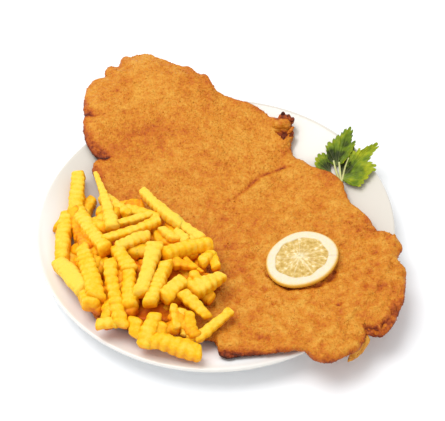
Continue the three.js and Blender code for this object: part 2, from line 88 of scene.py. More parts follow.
# Outline of the schnitzel, clockwise from the notch on its left.
SHEET_OUTLINE = [
    (-115, 125), (-116, 131), (-117, 141), (-116, 154), (-114.5, 165), (-109, 176), (-99, 180.5),
    (-99.5, 188), (-96, 196), (-87, 195), (-85.5, 205), (-82, 211), (-75, 209), (-67, 211), (-61, 211.5),
    (-53, 204.5), (-42, 198), (-29, 189.5), (-21, 188), (-12.5, 177), (-5, 175), (0, 163), (9, 150.5),
    (24, 143), (38, 136.5), (46, 130.5), (52, 124.5), (58, 122.5),  # frill
    (64, 121.5), (70, 117), (71.5, 109), (71.5, 101), (69, 95),  # waist
    (69.5, 84), (72, 77.5), (78, 74), (86, 65.5), (94, 61), (102, 56), (107.5, 49.5), (111.5, 41.5),
    (113, 32), (115, 22), (120, 13), (127, 3.5), (131, -6), (133.5, -14), (137.5, -20.5), (145, -25),
    (152, -33), (152.5, -40), (147, -50.5), (152.5, -62), (151.5, -76), (147, -95), (140, -110.5),
    (132, -122.5), (124, -126), (116, -124.5),  # flap
    (113, -131), (109, -138), (104, -142), (98, -144.5),  # near edge
    (84, -151), (73, -149), (66.5, -140.5), (50, -137.8), (38, -137.5), (21, -137.3), (8, -139),
    (1.5, -136.8), (0, -133), (-3, -122),  # under the fries
    (-14, -119), (-35, -115), (-60, -110), (-84, -104), (-97, -97), (-105, -82), (-109, -60), (-108, -32),
    (-103, -5), (-97, 18),  # left side, up to the second lobe
    (-94, 36), (-101, 49), (-106, 62), (-106, 71), (-102.5, 77.5), (-105, 82), (-109.5, 88), (-113, 96.5),
    (-116, 108), (-116, 118),
]
# Grooves and swells of the crust: a run of points, how wide to each side, how high, how brown. The brown
# of a groove is painted shade in it, and the paler crust of a swell is painted light.
CREASES = [
    {"run": [(24, 39), (31, 47), (41, 56), (52, 61), (63, 65)], "wide": 2.6, "high": -1.7, "brown": 0.16},
    {"run": [(44, -14), (96, -12)], "wide": 26, "high": 3.5, "brown": 0.0},  # carries the lemon slice
    {"run": [(28, 33), (40, 45), (52, 54), (66, 58)], "wide": 8, "high": 1.6, "brown": -0.05},
    {"run": [(-96, 88), (-83, 92), (-73, 99), (-61, 108), (-48, 113)], "wide": 6, "high": -1.0,
     "brown": 0.06},
    {"run": [(-84, 94), (-62, 110), (-36, 114), (-22, 110)], "wide": 11, "high": -0.6, "brown": 0.1},
    {"run": [(-92, 78), (-77, 82), (-62, 86), (-48, 90)], "wide": 5, "high": -0.9, "brown": 0.08},
    {"run": [(-98, 181), (-84, 176), (-78, 164)], "wide": 5, "high": -1.2, "brown": 0.08},
    {"run": [(-86, 195), (-76, 187)], "wide": 5, "high": -1.4, "brown": 0.1},
    {"run": [(-12, 175), (-22, 166), (-30, 152)], "wide": 6, "high": -0.9, "brown": 0.07},
    {"run": [(66, 84), (58, 74), (54, 68)], "wide": 6, "high": -1.2, "brown": 0.04},
    {"run": [(99, -52), (110, -48), (120, -44), (131, -43)], "wide": 2.2, "high": -0.9, "brown": 0.18},
    {"run": [(99, -48), (111, -43), (122, -39)], "wide": 4.0, "high": 0.8, "brown": -0.05},
    {"run": [(103, -70), (114, -66), (124, -64)], "wide": 3.0, "high": -0.7, "brown": 0.12},
    {"run": [(96, -34), (112, -27), (126, -24)], "wide": 3.0, "high": -0.6, "brown": 0.08},
    {"run": [(98, -84), (112, -80), (128, -80)], "wide": 3.5, "high": -0.6, "brown": 0.08},
    {"run": [(-4, 36), (-4, 24)], "wide": 3, "high": -0.5, "brown": 0.06},
    {"run": [(-118, 146), (-115, 133), (-105, 125)], "wide": 6, "high": -3.2, "brown": 0.0},
    {"run": [(-116, 113), (-112, 98), (-105, 86), (-94, 80)], "wide": 6, "high": -3.2, "brown": 0.0},
    {"run": [(-104, 78.5), (-97, 78), (-92, 79.5)], "wide": 1.4, "high": -0.7, "brown": 0.35},
    {"run": [(-116, 125), (-108, 123.5), (-103, 124.5)], "wide": 1.3, "high": -0.6, "brown": 0.3},
    # Painted shadow: the groove round the lemon slice's front edge is browned for the shadow under the slice.
    {"run": [(42, -56), (47.5, -64.5), (55, -71.5), (66, -75), (78, -74), (89, -67.5), (96, -58)],
     "wide": 2.4, "high": -1.4, "brown": 0.36},
]
# Painted shade: the dark broken line down the middle of the deep fold, which fades out at one x.
PAINTED_FOLD_SHADE = {
    "run": [(24, 39), (31, 47.5), (41, 56.5), (52, 61.5), (62, 65.5)], "wide": 1.3,
    "brown": 0.2, "broken": 0.24, "fades_at": 18.0, "fades_over": 14.0,
}
# Steps down in the crust, each inside convex corners: how high, how brown, how ragged its side. The brown
# is painted shade in the step, under the frill's curl, along the near edge and in the near corner.
HOLLOWS = [
    {"corners": [(55, 106.2), (62.3, 94.5), (69, 105)], "high": -3.6, "brown": 0.56, "ragged": 0.2},
    {"corners": [(-4, -132.6), (-4, -150), (46, -150), (46, -138.4)], "high": -3.8, "brown": 0.36,
     "ragged": 0.3},
    {"corners": [(113, -118), (114, -131), (127, -131), (125.5, -117.5)], "high": -3.2, "brown": 0.34,
     "ragged": 1.4},
    {"corners": [(124.5, -118), (127, -131), (139, -124), (133, -109.5)], "high": -3.2, "brown": 0.36,
     "ragged": 1.4},
    {"corners": [(131.5, -111), (138, -126), (151, -104), (140, -100)], "high": -2.6, "brown": 0.26,
     "ragged": 1.4},
]
HOLLOW_SIDE = 1.6  # how wide the side of a hollow is
HOLLOW_OUTSIDE = 0.4  # the share of that side that lies outside the corners
# Lumps, knobs and strands that stand on the edge: start, middle, end, radius, how brown.
TIPS = [
    ((53.5, 111.5, 25.2), (61.5, 110.5, 27.6), (69, 107.5, 26.5), 4.6, 0.26),  # the frill's golden curl
    ((58, 117.5, 26.5), (65.5, 116.5, 28.4), (71.5, 111, 27.5), 3.8, 0.66),
    ((61.5, 118.5, 29.5), (62.7, 119.5, 31.5), (63, 120.5, 33.4), 1.9, 0.95),
    ((66.5, 115.5, 30), (67.6, 116.2, 31.5), (67.8, 116.8, 33.2), 1.5, 0.92),
    ((70, 111.5, 29.5), (71, 112.5, 31.3), (71.6, 113, 33.0), 1.9, 0.9),
    ((65.8, 101.5, 24.4), (69, 103, 27.2), (72, 106, 29.0), 1.5, 0.3),
    ((67.5, 98.5, 22.5), (69.5, 100.5, 24.5), (71, 103, 26.0), 1.6, 0.75),
    ((116, -123, 26.5), (112, -129.5, 22), (104, -136.2, 13.5), 3.0, 0.14),  # shreds of the near corner
    ((111.5, -126, 26), (107.5, -132, 22), (100.5, -138, 13.5), 3.0, 0.06),
    ((113.8, -126.5, 26), (109.8, -131.4, 22.3), (103.5, -137.6, 14), 1.7, 0.62),
    ((107, -124.5, 28), (111, -125.5, 26.8), (115, -124.5, 25), 2.4, 0.3),
    # The lower layer's brown is partly painted shade under the corner's upper layer.
    ((115.5, -116.5, 27), (119, -120, 26.8), (122.5, -120.5, 26.2), 2.2, 0.54),  # lower layer of the corner
    ((119.5, -119.5, 27.2), (123, -121.8, 26.4), (126, -121.5, 26.2), 2.0, 0.44),
    ((123.5, -122, 26), (126, -123, 25.6), (128.5, -121.5, 25.8), 1.6, 0.8),
    ((126, -118.6, 27.2), (129.5, -117, 27), (131.5, -113.5, 27.4), 2.1, 0.46),
    ((129, -119.5, 26), (131, -117.8, 26), (132.5, -115, 26.6), 1.4, 0.7),
    ((131, -113.5, 27.4), (134.2, -109.8, 27.6), (136.2, -104.5, 28), 2.0, 0.44),
    ((134.5, -110.5, 26.6), (136.5, -107.4, 27), (137.6, -103.5, 27.6), 1.3, 0.62),
    ((137, -104.5, 28.2), (139.4, -100.5, 28.4), (141, -96, 29), 1.8, 0.42),
]
# Broad waves of the meat: direction from +X, wavelength, height.
WAVES = [(math.radians(20), 96, 0.7), (math.radians(75), 71, 0.55), (math.radians(140), 52, 0.35)]
# Small marks of the crust: place, radius, depth, how brown, which is painted shade in the pit.
PITS = [
    (44, -89, 2.0, 1.2, 0.42), (96, -95, 2.4, 1.6, 0.55), (19, -71, 1.6, 0.8, 0.25),
    (33, -122, 3.2, 0.9, 0.26), (39, -124, 2.6, 1.0, 0.3), (-86, 155, 2.0, 0.4, 0.22),
    (-80, 126, 2.2, 0.4, 0.2), (-78, 187, 2.8, 0.5, 0.15), (18, 33, 2.4, 0.4, 0.22),
    (13, 30, 1.8, 0.4, 0.16), (21, 36, 1.6, 0.4, 0.3), (86, -110, 1.8, 0.7, 0.2),
    (-30, 92, 2.4, 0.4, 0.12), (8, -20, 1.5, 0.5, 0.15), (112, -70, 2.0, 0.4, 0.2),
    (51, 12, 1.8, 0.4, 0.12), (118, -78, 1.8, 0.4, 0.2), (74, -104, 1.8, 0.4, 0.18),
    (66, -100, 2.4, 0.4, 0.12), (124, -120.5, 2.0, 0.8, 0.25), (134.5, -112, 1.8, 0.6, 0.2),
    (129.5, -117, 1.8, 0.6, 0.25),
]
# Clouds of darker (more than 0) and paler crust: place, radius, how much.
CLOUDS = [
    (-13, 156, 22, 0.08), (-97, 57, 13, 0.1), (-3, -9, 24, 0.08), (9, 23, 14, 0.05),
    (118, -16, 9, 0.16), (133, -79, 8, 0.08), (-60, 92, 22, 0.05), (20, 92, 26, -0.07),
    (62, 33, 20, -0.06), (-37, 152, 26, -0.06), (-63, 193, 13, -0.08), (45, -30, 14, -0.04),
    (60, -108, 22, -0.06), (118, -50, 14, -0.06), (106, -141, 5, -0.2), (-90, 140, 14, -0.03),
    (-95, 110, 12, -0.05),
]
# Edges painted darker, partly where they took more heat and partly as painted shade on side faces turned from
# the light (the lobes, the frill, the near corner): a run of points, how wide, how brown, and how much of
# that the top shows.
BROWNED_AND_SHADED_EDGES = [
    {"run": [(-119.5, 144), (-117, 134), (-111, 127.5)], "wide": 6, "brown": 0.42, "top": 1.0},
    {"run": [(-116, 103), (-111, 93), (-105, 86), (-98, 81)], "wide": 7, "brown": 0.42, "top": 1.0},
    {"run": [(-117, 122), (-115, 110)], "wide": 5, "brown": 0.2, "top": 1.0},
    {"run": [(58, 120), (66, 119), (72, 114), (71, 106)], "wide": 3.0, "brown": 0.28, "top": 1.0},
    {"run": [(112, -118), (120, -119), (128, -115), (134, -107), (139, -96)], "wide": 2.2, "brown": 0.24,
     "top": 1.0},
    {"run": [(140, -104), (147, -92), (151, -78)], "wide": 3.5, "brown": 0.3, "top": 0.5},
    {"run": [(114, -127), (110, -137), (102, -142)], "wide": 2.6, "brown": 0.2, "top": 1.0},
    {"run": [(-2, -134), (3, -141), (22, -141), (44, -140)], "wide": 6, "brown": 0.06, "top": 0.1},
    {"run": [(70, -145), (84, -152), (97, -149)], "wide": 6, "brown": 0.1, "top": 1.0},
    {"run": [(0, 163), (-10, 174), (-20, 185)], "wide": 6, "brown": 0.1, "top": 1.0},
    {"run": [(-96, 30), (-103, 62)], "wide": 6, "brown": 0.14, "top": 1.0},
    {"run": [(76, 74), (92, 61), (107, 48), (113, 30)], "wide": 6, "brown": 0.1, "top": 1.0},
    {"run": [(128, -6), (142, -25), (152, -40)], "wide": 6, "brown": 0.12, "top": 1.0},
    {"run": [(24, 143), (46, 130)], "wide": 5, "brown": 0.1, "top": 1.0},
]

# The heap of fries: a low dome over an oval of the plate.
HEAP = {
    "centre": (-62.0, -52.0), "half_width": 78.0, "half_depth": 95.0, "edge_height": 12.0,
    "rise": 17.0, "fullness": 0.65, "skirt": 0.05, "gap": (-57.0, -103.0), "gap_radius": 16.0,
}
# What fills the heap under the fries that show, in the most toasted colour, which paints the shade deep in
# the gaps.
CORE = {
    "centre": (-65.0, -50.0), "half_width": 55.0, "half_depth": 92.0, "turn": math.radians(30),
    "below": 17.0, "lift": 1.6, "skirt": 0.28, "cover": 0.7, "least": 0.8, "columns": 72, "rings": 24,
}
# The fries, lowest first: both ends in plan, thickness at both, depth in the heap, how toasted.
FRIES = [
    (-135, 2, -124, 1, 10, 10, 7, 0.55), (-121, 18, -112, -20, 10, 10, 9, 0.72),
    (-112, 2, -101, -26, 10, 10, 9, 0.7), (-84, -100, -89, -109, 7.5, 7.5, 7, 0.55),
    (-104, 37, -111, 13, 9.5, 9.5, 6, 0.5), (-20, -62, -14, -71, 8, 8, 5, 0.45),
    (-64, -108, -64, -123, 12, 12, 5, 0.5), (-22, -105, -19, -125, 8.5, 9.5, 5, 0.5),
    (-109, -75, -98, -98, 12, 13, 6, 0.4), (-42, -113, -47, -127, 10.5, 10.5, 5, 0.5),
    (-95, -113, -77, -111, 8, 8, 4, 0.36), (-69, -60, -68, -101, 11.5, 12.5, 4, 0.46),
    (-22, -25, -16, -27, 7, 7, 3, 0.1), (-34, -19, -23, -32, 8, 8, 3, 0.2),
    (-45, -16, -32, -31, 8, 8, 3, 0.2), (-4, -42, 0, -58, 8.5, 7, 4, 0.45),
    (-13, -55, -3, -40, 9, 9, 3, 0.4), (-76, 7, -46, -5, 9.5, 8.5, 4, 0.36),
    (-95, 26, -70, -1, 10.5, 9.5, 3, 0.34), (-26, -50, -11, -64, 5, 4, 4, 0.6),
    (-80, -14, -52, 0, 6.5, 6.5, 3, 0.24), (-36, -54, -15, -61, 12.5, 4, 3, 0.62),
    (-124.8, 16, -125, -44, 10.5, 11.5, 3, 0.38), (-117.5, 60, -118.5, 14, 12, 12.5, 2, 0.38),
    (-48, -106, -57, -133, 12.5, 13, 3, 0.42), (-28, -102, -25, -122, 7.5, 7.5, 3, 0.26),
    (-34, -99, -32, -119, 5.5, 7.5, 3, 0.4), (-129, -43, -105, -83, 13, 14, 2, 0.16),
    (-80, -39, -68, -66, 12, 12, 2.5, 0.42), (-116, 19, -88, -45, 12, 12, 1, 0.32),
    (-109, -35, -94, -93, 11.5, 15, 1, 0.44), (-81, -41, -53, -26, 9.5, 9.5, 2, 0.26),
    (-32, -8, -11, -28, 8, 8, 1, 0.16), (-62, 28, -27, -14, 8.5, 9, 0, 0.14),
    (-92, -33, -45, -9, 7.5, 7.5, 0.5, 0.34), (-102, 51, -84, -20, 3.5, 11.5, 0, 0.24),
    (-43, -51, -3, -31, 12, 12.5, -0.5, 0.44), (-39, -57, -53, -101, 11.5, 11, 0, 0.38),
    (-48, -39, -60, -93, 13, 12, -2, 0.26), (-85, -55, -74, -117, 10.5, 11, -1, 0.46),
    (-26, -74, -42, -95, 12.5, 13, 0, 0.34), (-28, -87, -7, -109, 12.5, 7, 0, 0.42),
    (5, -65, -21, -85, 9.5, 14, 0, 0.3), (-52, -128.5, -13, -139, 12.5, 12, 0, 0.44),
    (-18, -125, 11, -99, 8, 7.5, 0, 0.34),
]

LEMON = {
    "centre": (70.0, -46.0), "radius": 29.9, "thickness": 4.8, "rind": 1.8, "pith": 8.0, "draw_in": 0.6,
    "recess": 0.7, "hub": (-1.8, 2.4), "gap": 0.4, "long_axis": math.radians(44), "stretch": 0.068,
    "wall": 0.6, "dimple": 0.18,
    "tilt": -0.02,  # its far side is lower than the schnitzel would carry it by this slope
}

# What the parsley's leaves have in common: their teeth, how far they draw in between the veins, the ripples
# and their sizes, how they fold at a vein, and the marks of veins and ribs.
SPRIG = {
    "leaf_thickness": 0.4, "tooth": 5.2, "tooth_depth": 0.1, "drawn_in": 0.06,
    "ripples": [(1.1, 7), (0.5, 3)], "fold": 0.3, "fold_reach": 4.0, "groove": 0.4, "groove_width": 0.5,
    "vein_width": 0.4, "rib_spacing": 4.4, "rib_slant": 0.3, "rib_width": 0.1, "paleness": 0.13,
}
LEAF_STEPS = 8  # points of a leaf's curve for each of its listed points
LEAF_ROWS = 34  # from its base to its border
# Each leaf: its base, how high that is, how far it rises, how young, a place of painted shade with its
# radius, its outline from the base's one side round to the other, and the tips its veins run to.
LEAVES = [
    {"base": (102, 61.8), "lift": 1.4, "rise": 1.6, "young": 0.3, "shade": (100, 68, 6), "outline": [
        (101.6, 70), (100.8, 77.4), (98.9, 81.4), (96.3, 81.5), (94.3, 83.1), (91.9, 81.7), (89.7, 79.1),
        (88.7, 75.1), (88.6, 69.6), (94.3, 64.5)], "veins": [(94.3, 82), (90, 77.5), (89.5, 71), (98.5, 80)]},
    {"base": (110.2, 56.5), "lift": 1.2, "rise": 1.8, "young": 0.12, "shade": (116, 66, 8), "outline": [
        (118.6, 64), (119.8, 70.7), (122.6, 75.2), (124.2, 80.9), (120, 86), (115.6, 83.1), (111.7, 77),
        (108.4, 67.6)], "veins": [(120, 84), (122.6, 78), (115, 81)]},
    {"base": (107.5, 66.2), "lift": 2.6, "rise": 2.9, "young": 0.26, "shade": (103, 76, 7), "outline": [
        (113, 63.8), (116.5, 68.7), (120.8, 74), (121.9, 77.2), (124.4, 80.6), (124.8, 85.5), (122.4, 86.9),
        (123.8, 92.5), (124, 99.5), (122, 103.6), (117.7, 101.2), (114.9, 99.8), (112.6, 95.9), (109.7, 94.9),
        (106.4, 92.8), (104.5, 90.1), (100.9, 89.6), (98.6, 86.5), (98.8, 80.3), (99.6, 73.2), (100.9, 67.5)],
     "veins": [(121.8, 102), (115, 98.5), (106.5, 91.5), (99.8, 87), (124, 84), (100, 75), (121, 76)]},
    {"base": (110.8, 52.8), "lift": 2.0, "rise": 3.0, "young": 0.5, "shade": (115.5, 58.8, 5), "outline": [
        (112.7, 45.1), (117.5, 41.2), (122.2, 37.8), (124.9, 37), (128.3, 39.2), (129.6, 42), (133.9, 45.5),
        (136.5, 48.8), (139.3, 50.5), (140.2, 55.1), (139.4, 57.8), (136.3, 61.3), (138, 65.4), (141.6, 71.3),
        (144.6, 77.2), (145.2, 80.3), (144, 83.2), (141.6, 83.2), (137.9, 80.9), (135.8, 78.4), (134.7, 79.8),
        (131.2, 76.3), (127.9, 77), (125.7, 75.8), (123.4, 74.4), (121.8, 75.3), (117.9, 69.6), (114, 62)],
     "veins": [(144, 82), (138.5, 56), (134.5, 78.5), (139, 51.5), (132, 44), (125.5, 38.5), (125, 74.5)]},
]
# Stems: three points with heights over the plate, and the radius.
STEMS = [
    ([(109.6, 47, 1.2), (106.6, 60, 2.2), (104.8, 71.5, 3.6)], 1.1),
    ([(110, 47, 1.2), (109.6, 58, 2.6), (109.4, 68, 4.6)], 1.2),
    ([(110.6, 49, 1.2), (113.4, 60, 3.4), (117.6, 69.5, 5.4)], 0.9),
]

# Layers of noise: how strong, how large in millimetres, and which seed.
NOISE = {
    "hollow sides": [(1.0, 3.4, 15)],
    "scallops": [(0.55, 7.0, 11), (0.45, 3.1, 12)],
    "bites": [(1.0, 4.3, 13)],
    "swells": [(0.55, 19, 21), (0.4, 8.5, 22)],
    "rough swells": [(0.6, 6.5, 24), (0.6, 3.8, 25)],
    "small crumbs": [(0.5, 1.9, 31)],
    "flakes": [(1.0, 3.3, 32)],
    "uneven heat": [(1.0, 5, 41)],
    "fine heat": [(0.15, 2.2, 42)],
    "tip crumbs": [(0.3, 1.5, 82)],
    "tip heat": [(0.12, 2.0, 83)],
    "heap": [(2.6, 9, 51), (1.0, 4, 52)],
    "fry": [(0.7, 8, 55), (0.4, 3, 56)],
}


def distance(x, y):
    """Straight distance from the plate's centre."""
    return np.hypot(x, y)


def smooth(t):
    """Climbs from 0 to 1 as 3t^2 - 2t^3, flat outside."""
    t = np.clip(t, 0, 1)
    return t * t * (3 - 2 * t)


def soft_min(a, b, blend):
    """The smaller of two heights, rounded off by a parabola where they are within blend of each other."""
    near = np.clip(blend - np.abs(a - b), 0, None) / blend
    return np.minimum(a, b) - near * near * blend / 4


def soft_max(a, b, blend):
    """The larger of two heights, rounded in the same way."""
    return -soft_min(-a, -b, blend)


def plate_top(x, y):
    """Flat well, then the flange climbs as a power of the way out; past the rim it falls away."""
    r = distance(x, y)
    climb = np.clip((r - PLATE["well_radius"]) / (PLATE["radius"] - 1 - PLATE["well_radius"]), 0, 1)
    rise = PLATE["rim_height"] - PLATE["well_height"]
    return PLATE["well_height"] + rise * climb ** PLATE["sweep"] - np.clip(r - PLATE["radius"], 0, None)


def sheet_underside(x, y):
    """A shallow saddle of two parabolas, carried by the flange, that levels out and droops over the rim."""
    cos, sin = math.cos(SHEET["long_axis"]), math.sin(SHEET["long_axis"])
    along, across = x * cos + y * sin, y * cos - x * sin
    dish = SHEET["sag_height"] + SHEET["curl_along"] * along**2 + SHEET["curl_across"] * across**2
    past = np.clip(distance(x, y) - PLATE["radius"], 0, None) / SHEET["droop_span"]
    reach = SHEET["reach_height"] - SHEET["droop"] * past**2
    return soft_max(soft_min(dish, reach, SHEET["blend"]), plate_top(x, y) + SHEET["clear"], SHEET["blend"])


def closed_curve(points, steps):
    """Catmull-Rom cubics through the points: each span is a cubic with the slope of its neighbours' chord."""
    p = np.array(points, float)
    before, here, after, beyond = (np.roll(p, k, 0)[:, None] for k in (1, 0, -1, -2))
    t = np.linspace(0, 1, steps, endpoint=False)[None, :, None]
    square = (2 * before - 5 * here + 4 * after - beyond) * t**2
    cube = (3 * here - before - 3 * after + beyond) * t**3
    return (0.5 * (2 * here + (after - before) * t + square + cube)).reshape(-1, p.shape[1])


CURVE_STEPS = 12  # points of the outline's curve for each of its listed points
HEART = np.array(SHEET["heart"])
OUTLINE = closed_curve(SHEET_OUTLINE, CURVE_STEPS)[::-1]
OUTLINE_LENGTH = np.concatenate([[0], np.cumsum(np.hypot(*(np.roll(OUTLINE, -1, 0) - OUTLINE).T))])
FAN_ANGLE = np.mod(np.arctan2(OUTLINE[:, 1] - HEART[1], OUTLINE[:, 0] - HEART[0]), 2 * np.pi)
FAN_ORDER = np.argsort(FAN_ANGLE)
FAN_REACH = np.hypot(*(OUTLINE - HEART).T)


def outline_at(t):
    """The point of the outline at a share t of its length."""
    loop = np.vstack([OUTLINE, OUTLINE[:1]])
    length = t * OUTLINE_LENGTH[-1]
    return np.stack([np.interp(length, OUTLINE_LENGTH, loop[:, k]) for k in (0, 1)], -1)


def outline_reach(x, y):
    """Distance from the heart to the outline, in the direction of each point."""
    angle = np.mod(np.arctan2(y - HEART[1], x - HEART[0]), 2 * np.pi)
    return np.interp(angle, FAN_ANGLE[FAN_ORDER], FAN_REACH[FAN_ORDER], period=2 * np.pi)


def sheet_share(x, y):
    """0 at the heart of the schnitzel, 1 at its outline, more outside."""
    return np.hypot(x - HEART[0], y - HEART[1]) / outline_reach(x, y)


def distance_to_run(x, y, run):
    """Distance to the nearest point of a run of straight stretches."""
    nearest = np.full(np.shape(x), np.inf)
    for (ax, ay), (bx, by) in zip(run, run[1:]):
        dx, dy = bx - ax, by - ay
        t = np.clip(((x - ax) * dx + (y - ay) * dy) / (dx * dx + dy * dy), 0, 1)
        nearest = np.minimum(nearest, np.hypot(x - ax - t * dx, y - ay - t * dy))
    return nearest


def bell(away, wide, power=2):
    """1 in the middle and falling off as e to the minus (away / wide)^power."""
    return np.exp(-((away / wide) ** power))


def spots(x, y, places):
    """Adds up a round bell for each place, given as x, y, radius and amount."""
    return sum(amount * bell(np.hypot(x - px, y - py), radius) for px, py, radius, amount in places)


def across_creases(x, y, key):
    """Adds up a bell across each crease, as high or as brown as the crease says."""
    return sum(crease[key] * bell(distance_to_run(x, y, crease["run"]), crease["wide"]) for crease in CREASES)


def crust_relief(x, y):
    """Sum of sine waves, of a bell across each crease and of the hollows."""
    height = across_creases(x, y, "high") + deepest_hollow(x, y, "high")
    for heading, length, tall in WAVES:
        height += tall * np.sin(2 * np.pi * (x * math.cos(heading) + y * math.sin(heading)) / length)
    return height


def deepest_hollow(x, y, key):
    """What the hollows add at each point: in each it climbs, with a steep ragged side, from 0 to its value
    as the distance to the nearest of its sides grows; the strongest counts."""
    strongest = np.zeros(np.shape(x))
    uneven = noises(flat(x, y), "hollow sides")
    for hollow in HOLLOWS:
        depth = np.full(np.shape(x), np.inf)
        corners = hollow["corners"]
        for (ax, ay), (bx, by) in zip(corners, corners[1:] + corners[:1]):
            length = math.hypot(bx - ax, by - ay)
            depth = np.minimum(depth, ((bx - ax) * (y - ay) - (by - ay) * (x - ax)) / length)
        inside = hollow[key] * smooth((depth + hollow["ragged"] * uneven) / HOLLOW_SIDE + HOLLOW_OUTSIDE)
        strongest = np.where(np.abs(inside) > np.abs(strongest), inside, strongest)
    return strongest


def sheet_top(x, y):
    """Underside plus the edge's thickness, plus a crown that comes up inside the edge, plus the relief."""
    crown = SHEET["crown"] * smooth((1 - sheet_share(x, y)) / SHEET["rounding"])
    return sheet_underside(x, y) + SHEET["edge"] + crown + crust_relief(x, y)


def bed_height(x, y, skirt):
    """What carries the fries: the plate, or the schnitzel where it is, with a ramp at its edge."""
    plate = plate_top(x, y)
    on_sheet = smooth((1 + skirt - sheet_share(x, y)) / skirt)
    return plate + on_sheet * np.clip(sheet_top(x, y) - plate, 0, None)


def heap_top(x, y):
    """The bed, plus one fry, plus a dome that is a power of the way in from an ellipse."""
    across = (x - HEAP["centre"][0]) / HEAP["half_width"]
    along = (y - HEAP["centre"][1]) / HEAP["half_depth"]
    inside = np.clip(1 - across**2 - along**2, 0, 1)
    return bed_height(x, y, HEAP["skirt"]) + HEAP["edge_height"] + HEAP["rise"] * inside ** HEAP["fullness"]


# ---------------------------------------------------------------- noise and meshes

def corner_value(cell, seed):
    """A value from -1 to 1 for each whole-number point: its numbers multiplied by primes and mixed."""
    mixed = cell[..., 0] * 73856093 ^ cell[..., 1] * 19349663 ^ cell[..., 2] * 83492791 ^ seed * 2654435
    mixed = (mixed ^ mixed >> 13) & 0xFFFFFFFF
    mixed = mixed * 1274126177 & 0xFFFFFFFF
    return (mixed ^ mixed >> 16) / 2**31 - 1


def lattice_noise(points, size, seed):
    """Random values at the corners of cubes of that size, blended between them by 3t^2 - 2t^3."""
    place = np.asarray(points, float) / size
    cell = np.floor(place).astype(np.int64)
    t = smooth(place - cell)
    total = np.zeros(place.shape[:-1])
    for corner in np.ndindex(2, 2, 2):
        corner = np.array(corner)
        weight = np.prod(np.where(corner, t, 1 - t), -1)
        total += weight * corner_value(cell + corner, seed)
    return total


def noises(points, name):
    """Adds up the layers of noise that have this name."""
    return sum(strength * lattice_noise(points, size, seed) for strength, size, seed in NOISE[name])


def flat(x, y):
    """Points at height 0 from two arrays of coordinates."""
    return np.stack([x, y, np.zeros(np.shape(x))], -1)


def circle(steps):
    """Angles round a circle, in one row."""
    return np.linspace(0, 2 * np.pi, steps, endpoint=False)[None]


def border_of_grid(rows, columns):
    """Point numbers once round the border of a grid of points."""
    numbers = np.arange(rows * columns).reshape(rows, columns)
    return np.concatenate([numbers[0, :-1], numbers[:-1, -1], numbers[-1, :0:-1], numbers[:0:-1, 0]])


def quads_of_grid(rows, columns, wrap=False, first=0):
    """Four corner numbers for each cell of a grid of points; wrap joins the last column to the first."""
    across = columns if wrap else columns - 1
    r, c = np.meshgrid(np.arange(rows - 1), np.arange(across), indexing="ij")
    here, over = r * columns + c, r * columns + (c + 1) % columns
    return first + np.stack([here, over, over + columns, here + columns], -1).reshape(-1, 4)


def fan(ring, middle):
    """Triangles from a ring of corner numbers to one point."""
    return np.stack([ring, np.roll(ring, -1), np.full(len(ring), middle)], -1)


def skin(rings):
    """Closes a stack of rings, rows by columns by 3, with a fan to the middle of the first and the last."""
    rows, columns = rings.shape[:2]
    points = np.vstack([rings.reshape(-1, 3), rings[0].mean(0), rings[-1].mean(0)])
    start, end = np.arange(columns), (rows - 1) * columns + np.arange(columns)
    caps = np.vstack([fan(start[::-1], rows * columns), fan(end, rows * columns + 1)])
    return points, [quads_of_grid(rows, columns, wrap=True), caps]


NOT_QUITE_UP = np.array([0.13, 0.07, 1.0])  # never along a path, so that it always gives a side


def tube(path, radii, sides):
    """Circles of the given radii, square to the path at each of its points."""
    path = np.asarray(path, float)
    ahead = np.gradient(path, axis=0)
    ahead /= np.linalg.norm(ahead, axis=1, keepdims=True)
    side = np.cross(NOT_QUITE_UP, ahead)
    side /= np.linalg.norm(side, axis=1, keepdims=True)
    up = np.cross(ahead, side)
    angle = circle(sides)[..., None]
    spokes = side[:, None] * np.cos(angle) + up[:, None] * np.sin(angle)
    return skin(path[:, None] + spokes * np.asarray(radii)[:, None, None])


def parabola(t, points):
    """Through a start, a middle and an end: each counts by its Lagrange polynomial in t."""
    weights = (2 * t - 1) * (t - 1), 4 * t * (1 - t), t * (2 * t - 1)
    return sum(np.outer(weight, point) for weight, point in zip(weights, points))


def double_sheet(grid, under):
    """A thin leaf: a grid of points, the grid under it, and a rim between their borders."""
    rows, columns = grid.shape[:2]
    count = rows * columns
    points = np.vstack([grid.reshape(-1, 3), under.reshape(-1, 3)])
    border = border_of_grid(rows, columns)
    after = np.roll(border, -1)
    upper = quads_of_grid(rows, columns)
    rim = np.stack([after, border, border + count, after + count], -1)
    return points, [upper, upper[:, ::-1] + count, rim]


def joined(parts):
    """Several (points, faces) as one, with each one's corner numbers moved up by the points before it."""
    points, faces, first = [], [], 0
    for own_points, own_faces in parts:
        points.append(own_points)
        faces += [group + first for group in own_faces]
        first += len(own_points)
    return np.vstack(points), faces


def outward(points, faces):
    """Turns every face round if together they enclose a volume below zero."""
    volume = 0.0
    for group in faces:
        a = points[group[:, 0]]
        for k in range(1, group.shape[1] - 1):
            volume += np.einsum("ij,ij->", a, np.cross(points[group[:, k]], points[group[:, k + 1]]))
    return faces if volume > 0 else [group[:, ::-1] for group in faces]


def point_normals(points, faces):
    """The normals of the faces round each point, added up and brought to length 1."""
    normals = np.zeros_like(points)
    for group in faces:
        last = group.shape[1] - 1
        first_side = points[group[:, 1]] - points[group[:, 0]]
        normal = np.cross(first_side, points[group[:, last]] - points[group[:, 0]])
        for k in range(group.shape[1]):
            np.add.at(normals, group[:, k], normal)
    return normals / np.maximum(np.linalg.norm(normals, axis=1, keepdims=True), 1e-9)


